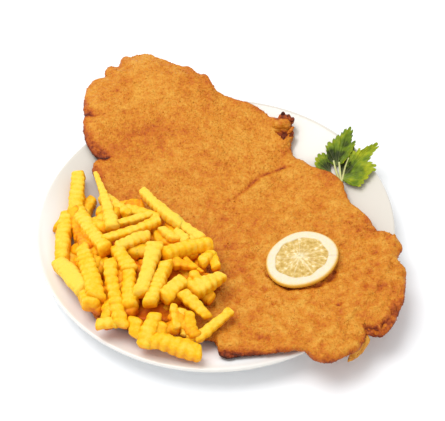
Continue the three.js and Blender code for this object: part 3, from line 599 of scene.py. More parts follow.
def place_piece(name, points, faces, material, node=None, attributes=None, uv=None):
    """Puts a closed form into the scene: millimetres become metres from the plate's centre."""
    mesh = bpy.data.meshes.new(name)
    corners = [corner for group in faces for corner in group.tolist()]
    mesh.from_pydata(np.asarray(points) * MM + CENTRE, [], corners)
    for key, values in (attributes or {}).items():
        layer = mesh.attributes.new(key, "FLOAT", "POINT")
        layer.data.foreach_set("value", np.asarray(values, np.float32))
    if uv is not None:
        order = np.concatenate([group.ravel() for group in faces])
        layer = mesh.uv_layers.new(name="surface")
        layer.data.foreach_set("uv", np.asarray(uv, np.float32)[order].ravel())
    mesh.materials.append(material)
    mesh.shade_smooth()
    piece = bpy.data.objects.new(name, mesh)
    bpy.context.scene.collection.objects.link(piece)
    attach(piece, "root")
    if node:
        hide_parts(node)
    return piece


# ---------------------------------------------------------------- materials

def colour(red, green, blue):
    """Linear colour from display values of 0 to 255."""
    share = np.array([red, green, blue]) / 255
    linear = np.where(share <= 0.04045, share / 12.92, ((share + 0.055) / 1.055) ** 2.4)
    return tuple(float(v) for v in linear)


def rgba(values):
    """A colour with full alpha."""
    return (*tuple(values)[:3], 1.0)


class Surface:
    """A material with a Principled shader, and short ways to add nodes to it."""

    def __init__(self, name, roughness, specular=0.5):
        self.material = bpy.data.materials.new(name)
        self.material.use_nodes = True
        self.tree = self.material.node_tree
        self.shader = self.tree.nodes["Principled BSDF"]
        self.shader.inputs["Roughness"].default_value = roughness
        self.shader.inputs["Specular IOR Level"].default_value = specular
        self.coordinates = self.add("ShaderNodeTexCoord").outputs["Object"]

    def add(self, kind, inputs=None, **settings):
        """A new node with its settings, and with each input linked or set to a value."""
        node = self.tree.nodes.new(kind)
        for key, value in settings.items():
            setattr(node, key, value)
        for key, value in (inputs or {}).items():
            if isinstance(value, bpy.types.NodeSocket):
                self.tree.links.new(value, node.inputs[key])
            else:
                node.inputs[key].default_value = value
        return node

    def noise(self, size, detail):
        """Cloudy noise from 0 to 1, with clouds about size millimetres across."""
        inputs = {"Vector": self.coordinates, "Scale": 1 / (size * MM), "Detail": detail}
        return self.add("ShaderNodeTexNoise", inputs).outputs[0]

    def cells(self, coordinates, scale):
        """Distance to the nearest of points scattered about 1 / scale apart."""
        inputs = {"Vector": coordinates, "Scale": scale}
        return self.add("ShaderNodeTexVoronoi", inputs).outputs["Distance"]

    def value(self, name):
        """A map of the piece's own, by its name."""
        return self.add("ShaderNodeAttribute", attribute_name=name).outputs["Fac"]

    def sum(self, *terms):
        """Adds up sockets, each with its weight and the value it is counted from."""
        total = None
        for socket, weight, middle in terms:
            inputs = {0: socket, 1: weight, 2: -middle * weight}
            term = self.add("ShaderNodeMath", inputs, operation="MULTIPLY_ADD").outputs[0]
            if total is not None:
                term = self.add("ShaderNodeMath", {0: total, 1: term}, operation="ADD").outputs[0]
            total = term
        return total

    def ramp(self, factor, stops):
        """Colours at stops along a value."""
        node = self.add("ShaderNodeValToRGB", {"Fac": factor})
        elements = node.color_ramp.elements
        while len(elements) < len(stops):
            elements.new(0.5)
        for element, (position, tint) in zip(elements, stops):
            element.position = position
            element.color = rgba(tint)
        return node.outputs["Color"]

    def mix(self, factor, first, second):
        """Goes from the first colour to the second as factor goes from 0 to 1."""
        node = self.add("ShaderNodeMix", data_type="RGBA")
        for socket, value in ((node.inputs[0], factor), (node.inputs[6], first), (node.inputs[7], second)):
            if isinstance(value, bpy.types.NodeSocket):
                self.tree.links.new(value, socket)
            else:
                socket.default_value = value if isinstance(value, float) else rgba(value)
        return node.outputs[2]

    def connect(self, socket, name):
        """Links a socket to the shader's input of that name."""
        self.tree.links.new(socket, self.shader.inputs[name])

    def glow(self, weight, reach, millimetres):
        """Light that passes under the surface: how much, and how far in red, green and blue."""
        self.shader.inputs["Subsurface Weight"].default_value = weight
        self.shader.inputs["Subsurface Radius"].default_value = reach
        self.shader.inputs["Subsurface Scale"].default_value = millimetres * MM

    def bump(self, *layers):
        """Relief from (height socket, height in millimetres) pairs, one on top of the other."""
        normal = None
        for height, millimetres in layers:
            inputs = {"Height": height, "Strength": 1.0, "Distance": millimetres * MM}
            if normal is not None:
                inputs["Normal"] = normal
            normal = self.add("ShaderNodeBump", inputs).outputs["Normal"]
        self.connect(normal, "Normal")


CLAY, CLAY_SPECK = colour(222, 214, 200), colour(190, 180, 165)
GLAZE_STARTS, GLAZE_CLOSED = 0.2 * MM, 0.6 * MM  # heights over the table


def porcelain_material(settings):
    """White glaze, darkened by painted shade where the piece's own map says so, almost flat, and a bare foot
    ring.
    """
    surface = Surface("glazed_porcelain", settings.roughness)
    # The cream map is painted shade: it darkens the glaze towards the far side and on the rim.
    cream = surface.sum((surface.value("cream"), 1.0, 0.0), (surface.noise(70, 2), 0.15, 0.5))
    glaze = surface.mix(cream, settings.glaze, settings.shade)
    height = surface.add("ShaderNodeSeparateXYZ", {0: surface.coordinates}).outputs["Z"]
    span = {"Value": height, "From Min": GLAZE_CLOSED, "From Max": GLAZE_STARTS}
    bare = surface.add("ShaderNodeMapRange", span).outputs[0]
    speckle = surface.mix(surface.noise(1.2, 3), CLAY, CLAY_SPECK)
    surface.connect(surface.mix(bare, glaze, speckle), "Base Color")
    surface.bump((surface.noise(26, 1), 0.25), (surface.noise(4, 2), 0.02))
    surface.shader.inputs["Coat Weight"].default_value = 0.3
    surface.shader.inputs["Coat Roughness"].default_value = 0.05
    return surface.material


GRAIN = 1.4  # millimetres between the finest crumbs
DULLEST_CRUMB, GLOSSIEST_CRUMB = (0.62,) * 3, (0.38,) * 3


def crust_material(settings):
    """Fried crumb: browned, and darkened by painted shade, by the piece's own map, mottled in clouds, and
    grained like breadcrumbs.
    """
    surface = Surface("crumb_crust", DULLEST_CRUMB[0], 0.25)
    grain = surface.cells(surface.coordinates, 1 / (GRAIN * MM))
    crumbs = surface.noise(1.7, 3)
    heat = surface.sum(
        (surface.value("browning_and_painted_shade"), 1.0, 0.0),
        (surface.noise(28, 3), 0.34, 0.5),
        (surface.noise(9, 4), 0.56, 0.5),
        (surface.noise(2.8, 1), 0.42, 0.5),
        (crumbs, 0.34, 0.5),
        (grain, 0.08, 0.4),
    )
    stops = [
        (0.02, settings.pale), (0.28, settings.golden), (0.5, settings.deep),
        (0.72, settings.brown), (1.0, settings.burnt),
    ]
    surface.connect(surface.ramp(heat, stops), "Base Color")
    gloss = surface.ramp(surface.noise(3, 2), [(0.3, GLOSSIEST_CRUMB), (0.7, DULLEST_CRUMB)])
    surface.connect(gloss, "Roughness")
    surface.bump((surface.noise(3.4, 2), 0.95), (crumbs, 0.9), (grain, 0.35), (surface.noise(0.8, 2), 0.2))
    return surface.material


def potato_material(settings):
    """Fried potato: painted highlight on the crests and painted shade in the grooves and underneath, deeper
    where it is toasted, faintly grained.
    """
    surface = Surface("fried_potato", 0.5, 0.2)
    toast = surface.sum(
        (surface.value("toast"), 1.0, 0.0),
        # Painted highlight: paler on the crinkles' crests, deeper in their grooves.
        (surface.value("crest_highlight"), -0.09, 0.0),
        (surface.noise(9, 2), 0.6, 0.5),
        (surface.noise(2.6, 3), 0.5, 0.5),
    )
    stops = [(0.0, settings.cream), (0.3, settings.yellow), (0.62, settings.golden), (1.0, settings.deep)]
    surface.connect(surface.ramp(toast, stops), "Base Color")
    surface.glow(settings.glow, (1.0, 0.5, 0.12), 3)
    surface.bump((surface.noise(2.4, 3), 0.5), (surface.noise(1.0, 2), 0.15))
    return surface.material


JUICE_CELLS = (36.0, 9.0, 1.0)  # how many lie round the hub, and from the hub to the rind


def lemon_material(settings):
    """Rind, pith and flesh by the piece's own maps; the flesh has long juice cells round the hub."""
    surface = Surface("lemon", 0.3, 0.5)
    polar = surface.add("ShaderNodeUVMap", uv_map="surface").outputs[0]
    stretched = surface.add("ShaderNodeMapping", {"Vector": polar, "Scale": JUICE_CELLS}).outputs[0]
    cells = surface.cells(stretched, 1.0)
    clouds, specks = surface.noise(5, 2), surface.noise(3.4, 3)
    mottle = surface.sum((cells, 0.7, 0.0), (clouds, 0.6, 0.3), (specks, 1.5, 0.5))
    juice = surface.ramp(mottle, [(0.1, settings.juice), (0.62, settings.flesh), (0.95, settings.membrane)])
    flesh = surface.mix(surface.value("membrane"), juice, settings.membrane)
    pith = surface.mix(surface.noise(3, 2), settings.pith, settings.pith_shade)
    inside = surface.mix(surface.value("flesh"), pith, flesh)
    surface.connect(surface.mix(surface.value("rind"), inside, settings.rind), "Base Color")
    surface.glow(0.25, (1.0, 0.8, 0.3), 2)
    surface.bump((cells, 0.25), (surface.noise(1.2, 2), 0.12))
    return surface.material


def parsley_material(settings):
    """Leaf green, darker with painted shade between the veins and at a shaded place, yellow-green on the
    young tips, lighter along the veins.
    """
    surface = Surface("parsley_leaf", 0.55, 0.22)
    tone = surface.sum((surface.value("young"), 1.0, 0.0), (surface.noise(6, 3), 1.1, 0.5))
    leaf = surface.ramp(tone, [(0.0, settings.dark), (0.42, settings.green), (0.95, settings.young)])
    surface.connect(surface.mix(surface.value("vein"), leaf, settings.vein), "Base Color")
    surface.glow(0.15, (0.5, 1.0, 0.1), 1)
    surface.bump((surface.noise(1.8, 2), 0.3))
    return surface.material


def paper_material(settings):
    """Plain pale paper."""
    surface = Surface("pale_paper", 0.9, 0.1)
    surface.shader.inputs["Base Color"].default_value = rgba(settings.floor)
    return surface.material


# ---------------------------------------------------------------- plate

POLE = 4.0  # radius of the smallest ring of the plate, closed by a fan
LIP_TURN = math.radians(75)  # how far the lip is rounded over and under
PLATE_STEPS = {"well": 12, "flange": 34, "lip": 9, "under": 22}


def plate_profile():
    """Radius and height from the middle of the well, out over the flange, round the lip and back under."""
    radius, lip, wall = PLATE["radius"], PLATE["lip"], PLATE["wall"]
    well = np.linspace(POLE, PLATE["well_radius"] - 3, PLATE_STEPS["well"])
    flange = np.linspace(PLATE["well_radius"], radius - lip, PLATE_STEPS["flange"])
    top_r = np.concatenate([well, flange])
    turn = np.linspace(LIP_TURN, -LIP_TURN, PLATE_STEPS["lip"])
    lip_z = PLATE["rim_height"] - lip + lip * np.sin(turn) - 0.3
    foot_out, foot_in = PLATE["foot_radius"], PLATE["foot_radius"] - PLATE["foot_width"]
    under_r = np.linspace(radius - 6, foot_out + 3, PLATE_STEPS["under"])
    foot = [(foot_out + 0.5, 0.7), (foot_out, 0.2), (foot_out - 0.5, 0), (foot_in + 0.5, 0), (foot_in, 0.2)]
    inner = [(r, PLATE["well_height"] - wall) for r in (foot_in - 1.5, POLE)]
    return np.vstack([
        np.stack([top_r, plate_top(top_r, 0 * top_r)], -1),
        np.stack([radius - lip + lip * np.cos(turn), lip_z], -1),
        np.stack([under_r, plate_top(under_r, 0 * under_r) - wall], -1),
        foot + inner,
    ])


# Painted shade: the glaze turns from white to cream along a heading, and again within a band that ends near
# the rim.
PAINTED_GLAZE_SHADE = {
    "heading": math.atan2(2, 1), "from": -134.2, "span": 161.0,
    "rim": 0.62, "rim_from": 138.0, "rim_span": 11.0,
}


def glaze_painted_shade(points):
    """Painted shade, cream on the rim and on the far side, white on the near left: a smooth step across the
    plate and one on the distance from its centre, of which the stronger counts."""
    x, y = points[:, 0], points[:, 1]
    along = x * math.cos(PAINTED_GLAZE_SHADE["heading"]) + y * math.sin(PAINTED_GLAZE_SHADE["heading"])
    far = smooth((along - PAINTED_GLAZE_SHADE["from"]) / PAINTED_GLAZE_SHADE["span"])
    rim = smooth((distance(x, y) - PAINTED_GLAZE_SHADE["rim_from"]) / PAINTED_GLAZE_SHADE["rim_span"])
    return np.maximum(far, PAINTED_GLAZE_SHADE["rim"] * rim)


def plate_form(columns):
    """Each profile point turned about the plate's axis: x = r cos a, y = r sin a."""
    r, z = plate_profile().T[..., None]
    angle = circle(columns)
    return skin(np.stack([r * np.cos(angle), r * np.sin(angle), z + 0 * angle], -1))


# ---------------------------------------------------------------- schnitzel

EDGE_ROUND = 4.4  # how far in the rounding of the edge begins
EDGE_RINGS = 9
UNDER_RINGS = 16
UNDERCUT = 1.0  # how far the lower half of the edge draws in
UNDERCUT_CHANGE = 2.5  # how much more or less it draws in along two stretches of the near edge
# The near edge lies on the plate's rim between two x and past a distance from the middle; left of that, and
# past another distance, its face shows.
RIM_FROM, RIM_TO, RIM_PAST, FACE_PAST = 50.0, 95.0, 118.0, 125.0
BITE_LEVEL = 0.35  # where the noise is stronger than this, the crust has a bite
# Browning of the crust, its underside and its edge; puffs paints light on the crust's puffs and shade in the
# dents between them.
HEAT_AND_PAINTED_SHADE = {"crust": 0.24, "puffs": -0.07, "under": 0.24, "edge": 0.07, "edge_width": 5.0}
# How strong the smaller puffs of the crust are at the far side, and how much is added towards the near one.
ROUGH = {"far": 0.35, "added": 1.5, "from": 70.0, "span": 110.0}


def ragged(point):
    """How far the crust falls short of the outline: scallops of noise, and bites where another noise is
    strong."""
    place = flat(point[..., 0], point[..., 1])
    return 0.5 + noises(place, "scallops") + 0.9 * np.clip(noises(place, "bites") - BITE_LEVEL, 0, 1)


def square_as_rings(cells):
    """A square grid seen as rings: a point's ring is its larger coordinate, from 0 in the middle to 1, and
    its turn is its place round that ring, from 0 to 1."""
    a, b = np.meshgrid(np.linspace(-1, 1, cells + 1), np.linspace(-1, 1, cells + 1))
    ring = np.maximum(np.abs(a), np.abs(b))
    u, v = a / np.maximum(ring, 1e-9), b / np.maximum(ring, 1e-9)
    first_sides = [(u + 1) / 8, 0.25 + (v + 1) / 8, 0.5 + (1 - u) / 8]
    return ring, np.select([v <= -1, u >= 1, v >= 1], first_sides, 0.75 + (1 - v) / 8)


def on_ray(turn, share, inset):
    """A share of the way along the ray from the heart to a point inset from the crust's ragged edge."""
    edge = outline_at(turn)
    ray = edge - HEART
    reach = np.hypot(ray[..., 0], ray[..., 1])
    out = (reach - np.clip(ragged(edge), 0, None) - inset) * share
    return HEART + ray * (out / reach)[..., None]


def sheet_form(cells):
    """A square grid bent to the outline along rays from the heart. Rings on half an ellipse round its edge,
    and rings that shrink to the heart close it underneath."""
    ring, turn = square_as_rings(cells)
    rim_turn = np.arange(4 * cells) / (4 * cells)
    top = on_ray(turn, ring, EDGE_ROUND).reshape(-1, 2)
    round_angle = np.pi * np.arange(1, EDGE_RINGS + 1) / EDGE_RINGS
    edge = [on_ray(rim_turn, 1, EDGE_ROUND * (1 - math.sin(angle)) + undercut(rim_turn, angle))
            for angle in round_angle]
    below = EDGE_ROUND + undercut(rim_turn, math.pi)
    under = [on_ray(rim_turn, share, below) for share in np.linspace(1, 0, UNDER_RINGS + 1)[1:-1]]
    x, y = np.vstack([top, *edge, *under, HEART[None]]).T
    turned = np.concatenate([
        np.zeros(len(top)),
        np.repeat((1 - np.cos(round_angle)) / 2, 4 * cells),
        np.ones(len(under) * 4 * cells + 1),
    ])
    height = sheet_underside(x, y) * turned + (sheet_top(x, y) + soft_swells(x, y)) * (1 - turned)
    points = np.stack([x, y, height], -1)
    return points, outward(points, sheet_faces(cells, len(edge) + len(under))), turned


def sheet_faces(cells, rings):
    """The grid's cells, a seam from its border to the first ring, the rings, and a fan to the heart."""
    first, here = (cells + 1) ** 2, np.arange(4 * cells)
    rim, after = border_of_grid(cells + 1, cells + 1), np.roll(here, -1)
    seam = np.stack([rim, rim[after], first + after, first + here], -1)
    sides = quads_of_grid(rings, 4 * cells, wrap=True, first=first)
    last = first + (rings - 1) * 4 * cells + here
    closing = fan(last, first + rings * 4 * cells)
    return [quads_of_grid(cells + 1, cells + 1), seam[:, ::-1], sides[:, ::-1], closing]


def undercut(turn, angle):
    """How far the lower half of the edge draws in, by half a cosine squared: more where the near edge
    touches the plate's rim, and not at all where its face shows."""
    x, y = outline_at(turn).T
    on_rim = smooth((x - RIM_FROM) / 20) * smooth((RIM_TO - x) / 20) * smooth((-y - RIM_PAST) / 12)
    upright = smooth((RIM_FROM + 10 - x) / 30) * smooth((-y - FACE_PAST) / 8)
    return (UNDERCUT + UNDERCUT_CHANGE * (on_rim - upright)) * ((1 - math.cos(angle)) / 2) ** 2


def soft_swells(x, y):
    """Puffs of the crust in several sizes of noise, and a bowl for each pit."""
    return noises(flat(x, y), "swells") + rough_swells(x, y) - spots(x, y, [pit[:4] for pit in PITS])


def rough_swells(x, y):
    """Smaller puffs, stronger towards the near side, where the crust is rougher."""
    strength = ROUGH["far"] + ROUGH["added"] * smooth((ROUGH["from"] - y) / ROUGH["span"])
    return noises(flat(x, y), "rough swells") * strength


def crumb_relief(points, height):
    """Bumps of crumbs in two sizes; the larger only stand up, so that they read as flakes."""
    flakes = np.clip(noises(points, "flakes") - 0.15, 0, 1)
    return height * (noises(points, "small crumbs") + 1.3 * flakes)


def browning_and_painted_shade(points, turned):
    """How brown the crust is, with painted light and shade in it: more on the rounded edge and underneath,
    and more in folds, grooves, hollows, pits and scorched runs, where it is partly painted shade; paler on
    puffs, which is painted light.
    """
    x, y = points[:, 0], points[:, 1]
    inward = np.clip((1 - sheet_share(x, y)) * outline_reach(x, y), 0, None)
    uneven = noises(points, "uneven heat")
    # Painted light on the puffs of the crust and painted shade in the dents between them.
    heat = HEAT_AND_PAINTED_SHADE["crust"] + HEAT_AND_PAINTED_SHADE["puffs"] * rough_swells(x, y)
    heat += HEAT_AND_PAINTED_SHADE["under"] * smooth(turned * 1.5) + HEAT_AND_PAINTED_SHADE["edge"] * bell(inward, HEAT_AND_PAINTED_SHADE["edge_width"])
    heat += across_creases(x, y, "brown") + deepest_hollow(x, y, "brown")
    # Painted shade down the middle of the deep fold.
    broken = PAINTED_FOLD_SHADE["brown"] + PAINTED_FOLD_SHADE["broken"] * uneven + noises(points, "fine heat")
    fold = broken * bell(distance_to_run(x, y, PAINTED_FOLD_SHADE["run"]), PAINTED_FOLD_SHADE["wide"])
    heat += fold * smooth((x - PAINTED_FOLD_SHADE["fades_at"]) / PAINTED_FOLD_SHADE["fades_over"])
    for edge in BROWNED_AND_SHADED_EDGES:
        # Browning and painted shade along each edge.
        near = bell(distance_to_run(x, y, edge["run"]), edge["wide"], 4) * (0.9 + 0.25 * uneven)
        heat += edge["brown"] * near * (edge["top"] + (1 - edge["top"]) * smooth(turned * 2))
    return heat + spots(x, y, [(*pit[:3], pit[4]) for pit in PITS]) + spots(x, y, CLOUDS)


def random_turns(count, rng):
    """Rotation matrices from random unit quaternions."""
    q = rng.normal(size=(count, 4))
    w, x, y, z = (q / np.linalg.norm(q, axis=1, keepdims=True)).T
    rows = [
        1 - 2 * (y * y + z * z), 2 * (x * y - z * w), 2 * (x * z + y * w),
        2 * (x * y + z * w), 1 - 2 * (x * x + z * z), 2 * (y * z - x * w),
        2 * (x * z - y * w), 2 * (y * z + x * w), 1 - 2 * (x * x + y * y),
    ]
    return np.stack(rows, -1).reshape(-1, 3, 3)


CHIP_CORNERS = 12


def icosahedron():
    """Twelve corners of three golden rectangles, and the twenty triangles between them."""
    g = (1 + math.sqrt(5)) / 2
    corners = [(-1, g, 0), (1, g, 0), (-1, -g, 0), (1, -g, 0), (0, -1, g), (0, 1, g),
               (0, -1, -g), (0, 1, -g), (g, 0, -1), (g, 0, 1), (-g, 0, -1), (-g, 0, 1)]
    sides = [(0, 11, 5), (0, 5, 1), (0, 1, 7), (0, 7, 10), (0, 10, 11), (1, 5, 9), (5, 11, 4), (11, 10, 2),
             (10, 7, 6), (7, 1, 8), (3, 9, 4), (3, 4, 2), (3, 2, 6), (3, 6, 8), (3, 8, 9), (4, 9, 5),
             (2, 4, 11), (6, 2, 10), (8, 6, 7), (9, 8, 1)]
    return np.array(corners) / math.hypot(1, g), np.array(sides)


def chips(centres, sizes, rng):
    """One small uneven chip at each centre: an icosahedron, stretched, dented and turned at random."""
    corners, sides = icosahedron()
    count = len(centres)
    stretch = sizes[:, None, None] * rng.uniform(0.55, 1.35, (count, 1, 3))
    dented = corners[None] * stretch * rng.uniform(0.75, 1.2, (count, CHIP_CORNERS, 1))
    points = np.einsum("nij,nkj->nki", random_turns(count, rng), dented) + centres[:, None]
    faces = sides[None] + CHIP_CORNERS * np.arange(count)[:, None, None]
    return points.reshape(-1, 3), outward(points.reshape(-1, 3), [faces.reshape(-1, 3)])


# ---------------------------------------------------------------- fries

# A fry's section is a superellipse, and so is the rounding of its ends: the powers of both, and how thick
# it is where an end begins. It stays clear of its bed by some air, counted from its thickest place.
FRY = {"square": 4.6, "blunt": 2.3, "end": 0.12, "bulge": 1.08, "air": 0.5}
FRY_ENDS = np.array([0, 0.1, 0.35, 0.75, 1.3, 2.0])  # rings near an end, in millimetres from it
FRY_BODY = 2.9  # where the even rings begin, in millimetres from an end
# How much darker a fry is at its ends, on its corners and on its underside; the underside's is painted shade.
TOAST_AND_PAINTED_SHADE = {"ends": 0.12, "corners": 0.1, "under": 0.27}
FRY_SIDES, HIDDEN_FRY_SIDES = 24, 14
# The deeper layer is toasted more, which partly paints the shade low in the heap.
HIDDEN_LAYERS = [(10, 0.55), (16, 0.75)]  # greatest depth in the heap, and how toasted
HIDDEN_WITHIN = 0.74  # share of the oval's area that hidden fries lie in


def fry_ends(fries):
    """Both ends at their depth under the heap's top, and the fry raised until it clears its bed."""
    half = fries[:, 4:6] / 2
    ends = fries[:, :4].reshape(-1, 2, 2)
    x, y = ends[..., 0], ends[..., 1]
    lowest = bed_height(x, y, HEAP["skirt"]) + half
    z = np.maximum(heap_top(x, y) - half - fries[:, 6:7], lowest)
    ends = np.stack([x, y, z], -1)
    t = np.linspace(0, 1, 17)[None, :, None]
    along = ends[:, :1] * (1 - t) + ends[:, 1:] * t
    radius = half[:, :1] * (1 - t[..., 0]) + half[:, 1:] * t[..., 0]
    heading = ends[:, 1] - ends[:, 0]
    heading /= np.linalg.norm(heading, axis=1, keepdims=True)
    need = np.zeros(len(fries))
    for aside in (-1, 0, 1):
        px = along[..., 0] - heading[:, 1:2] * aside * radius
        py = along[..., 1] + heading[:, 0:1] * aside * radius
        short = bed_height(px, py, HEAP["skirt"]) + radius * FRY["bulge"] + FRY["air"] - along[..., 2]
        need = np.maximum(need, short.max(1))
    ends[..., 2] += need[:, None]
    return ends


def fry_chances(rng):
    """The random values of one fry."""
    return {
        "blunt": rng.uniform(0.2, 0.36),
        "swell_start": rng.uniform(0, 6),
        "pitch": rng.uniform(0.9, 1.12),
        "crinkle_start": rng.uniform(0, 6),
        "drift_start": rng.uniform(0, 6),
        "out_of_step": rng.choice([0.3, 2.6]) + rng.uniform(-0.4, 0.4),
        "depth": rng.uniform(0.55, 1),
        "depth_start": rng.uniform(0, 6),
        "top": rng.uniform(0.1, 0.4),
        "width": rng.uniform(0.96, 1.04),
        "height": rng.uniform(0.84, 0.98),
        "tilt": rng.uniform(-0.22, 0.22),
        "twist": rng.uniform(-0.35, 0.35),
        "slants": rng.uniform(-0.6, 0.6, 2),
        "bend": rng.uniform(-0.035, 0.035),
        "arch": rng.uniform(0, 0.02),
    }


def fry_axes(start, end):
    """A fry's length, and its directions: along it, level across it, and up."""
    axis = end - start
    length = np.linalg.norm(axis)
    axis /= length
    side = np.cross([0, 0, 1], axis)
    side /= np.linalg.norm(side)
    return length, axis, side, np.cross(axis, side)


def fry_section(along, length, widths, angle, chance):
    """Half the fry's thickness at each place along it, its section, and both as one radius. It tapers from
    end to end, swells by a sine, and closes at both ends."""
    section = np.abs(np.cos(angle)) ** FRY["square"] + np.abs(np.sin(angle)) ** FRY["square"]
    section **= -1 / FRY["square"]
    half = np.interp(along, [0, length], widths / 2)
    half *= 1 + 0.06 * np.sin(along / length * 5 + chance["swell_start"])
    rounding = np.clip(1 - np.minimum(along, length - along) / (chance["blunt"] * widths.mean()), 0, 1)
    cap = FRY["end"] + (1 - FRY["end"]) * (1 - rounding ** FRY["blunt"]) ** (1 / FRY["blunt"])
    return half, section, section * (cap * half)[:, None]


def fry_waves(along, angle, pitch, chance):
    """The crinkles of the right side, the left side and the top: a wave along the fry, times how much the
    surface faces that way."""
    turn = 2 * np.pi * along / (pitch * chance["pitch"]) + chance["crinkle_start"]
    turn = (turn + 0.5 * np.sin(along / 8 + chance["drift_start"]))[:, None]
    right = crest(turn) * np.clip(np.cos(angle), 0, 1) ** 0.6
    left = crest(turn + chance["out_of_step"]) * np.clip(-np.cos(angle), 0, 1) ** 0.6
    top = chance["top"] * crest(turn + chance["out_of_step"] / 2) * np.clip(np.sin(angle), 0, 1) ** 0.8
    return right, left, top


def fry_form(start, end, widths, crinkle, sides, rng):
    """A rounded square carried from end to end. Both sides are waved along the fry, some in step and some
    out of step, and its top a little less. It is bent, twisted, tapered, lumpy and cut slanting."""
    chance = fry_chances(rng)
    length, axis, side, up = fry_axes(start, end)
    middle = np.linspace(FRY_BODY, length - FRY_BODY, max(int(length * 1.1), 8))
    along = np.concatenate([FRY_ENDS, middle, length - FRY_ENDS[::-1]])
    closing = np.minimum(along, length - along)
    angle = circle(sides)
    half, section, radius = fry_section(along, length, widths, angle, chance)
    right, left, top = fry_waves(along, angle, crinkle["pitch"], chance)
    waning = chance["depth"] * (0.8 + 0.25 * np.sin(along / 11 + chance["depth_start"]))
    high = (crinkle["depth"] * half * np.clip(closing / 3, 0, 1) * waning)[:, None]
    wide = radius * np.cos(angle) * chance["width"] + high * (right - left)
    tall = radius * np.sin(angle) * chance["height"] + high * top

    turned = chance["tilt"] + chance["twist"] * along[:, None] / length
    across = wide * np.cos(turned) - tall * np.sin(turned)
    above = wide * np.sin(turned) + tall * np.cos(turned)
    first_cut, last_cut = chance["slants"]
    shift = across * (first_cut * np.exp(-along / 5) + last_cut * np.exp((along - length) / 5))[:, None]
    hump = (4 * along * (1 - along / length))[:, None]
    path = start + axis * along[:, None] + side * chance["bend"] * hump + up * chance["arch"] * hump
    rings = path[:, None] + axis * shift[..., None] + side * across[..., None] + up * above[..., None]
    rings += noises(rings, "fry")[..., None] * (rings - path[:, None]) / half.mean()
    points, faces = skin(rings)

    # The crinkles' heights, which the material turns into a painted highlight on the crests.
    crest_highlight = right + left + top
    toast = TOAST_AND_PAINTED_SHADE["ends"] * np.exp(-closing / 2)[:, None] + TOAST_AND_PAINTED_SHADE["corners"] * (section - 1)
    # Painted shade: darker underneath, paler on top.
    toast = toast - TOAST_AND_PAINTED_SHADE["under"] * np.sin(angle + turned)
    ends = [toast[0].mean(), toast[-1].mean()]
    return points, faces, np.append(crest_highlight.ravel(), [0, 0]), np.append(toast.ravel(), ends)


def crest(turn):
    """A wave with broad crests and narrower troughs."""
    return np.cos(turn) - 0.22 * np.cos(2 * turn)


def hidden_fries(count, rng):
    """More fries lower in the heap, that many in each layer, at random places of the core's oval, so that
    no gap is empty but the open one."""
    rows = []
    for deepest, toast in HIDDEN_LAYERS:
        share = np.sqrt(rng.uniform(0.0, HIDDEN_WITHIN, count))
        x, y = heap_oval(share, rng.uniform(0, 2 * np.pi, count))
        heading, half = rng.uniform(0, np.pi, count), rng.uniform(9, 15, count)
        dx, dy = half * np.cos(heading), half * np.sin(heading)
        widths = rng.uniform(9, 12, (2, count))
        depth = deepest - rng.uniform(0, 3, count)
        toasted = toast + rng.uniform(-0.12, 0.12, count)
        rows.append(np.stack([x - dx, y - dy, x + dx, y + dy, *widths, depth, toasted], -1))
    rows = np.vstack(rows)
    middle = (rows[:, 0:2] + rows[:, 2:4]) / 2
    open_gap = np.hypot(*(middle - HEAP["gap"]).T) < HEAP["gap_radius"]
    return rows[~open_gap]


def heap_oval(share, angle):
    """Places in the core's turned ellipse, from a share of its size and an angle."""
    across, along = CORE["half_width"] * share * np.cos(angle), CORE["half_depth"] * share * np.sin(angle)
    cos, sin = math.cos(CORE["turn"]), math.sin(CORE["turn"])
    return CORE["centre"][0] + across * cos - along * sin, CORE["centre"][1] + across * sin + along * cos


def core_form(sides, rings):
    """A lumpy low dome under the fries, over most of the heap's oval."""
    share = np.concatenate([np.linspace(0.02, 0.98, rings), np.linspace(1, 0.02, rings // 3)])[:, None]
    x, y = heap_oval(CORE["cover"] * share, circle(sides))
    bottom = bed_height(x, y, CORE["skirt"]) + CORE["lift"]
    top = np.maximum(heap_top(x, y) - CORE["below"] + noises(flat(x, y), "heap"), bottom + CORE["least"])
    above = np.arange(len(share))[:, None] < rings
    return skin(np.stack([x, y, np.where(above, top, bottom)], -1))


# ---------------------------------------------------------------- lemon slice

RIND_TURN = math.radians(80)  # how far the rind is rounded over and under
RIND_TOP = math.radians(50)  # how far up the rounding its top begins
LEMON_COLUMNS = 240
LEMON_STEPS = {"under": 8, "rind": 9, "pith": 7, "flesh": 44}
# Noise of the flesh: cells to a radian, how long they are, and which seed.
LEMON_NOISE = {"walls": (4, 3, 62), "dimples": (9, 2.6, 61)}
LEMON_POLE = 0.6  # radius of the smallest ring on top, closed by a fan


def lemon_profile():
    """Radius and height, underneath, round the rind, over the pith and in over the flesh, and whether each
    place is on top."""
    radius, thickness, rind = LEMON["radius"], LEMON["thickness"], LEMON["rind"]
    turn = np.linspace(-RIND_TURN, RIND_TURN, LEMON_STEPS["rind"])
    edge_r = radius - rind + rind * np.cos(turn) - LEMON["draw_in"] * (1 - np.sin(turn)) / 2
    edge_z = thickness / 2 * (1 + np.sin(turn) / math.sin(RIND_TURN))
    flesh_r = radius - LEMON["pith"]
    pith_r = np.linspace(radius - 2.2, flesh_r + 0.6, LEMON_STEPS["pith"])
    top_r = np.concatenate([pith_r, np.linspace(flesh_r, LEMON_POLE, LEMON_STEPS["flesh"])])
    under_r = np.linspace(1, radius - rind - LEMON["draw_in"] - 0.6, LEMON_STEPS["under"])
    r = np.concatenate([under_r, edge_r, top_r])
    z = np.concatenate([0 * under_r, edge_z, 0 * top_r + thickness])
    on_top = np.concatenate([0 * under_r, turn > RIND_TOP, 0 * top_r + 1])
    return r, z, on_top


def polar_noise(angle, r, round_cells, length, seed):
    """Noise in cells that point to the hub: round_cells of them to a radian, each of that length."""
    return lattice_noise(flat(*np.broadcast_arrays(angle * round_cells, r / length)), 1.0, seed)


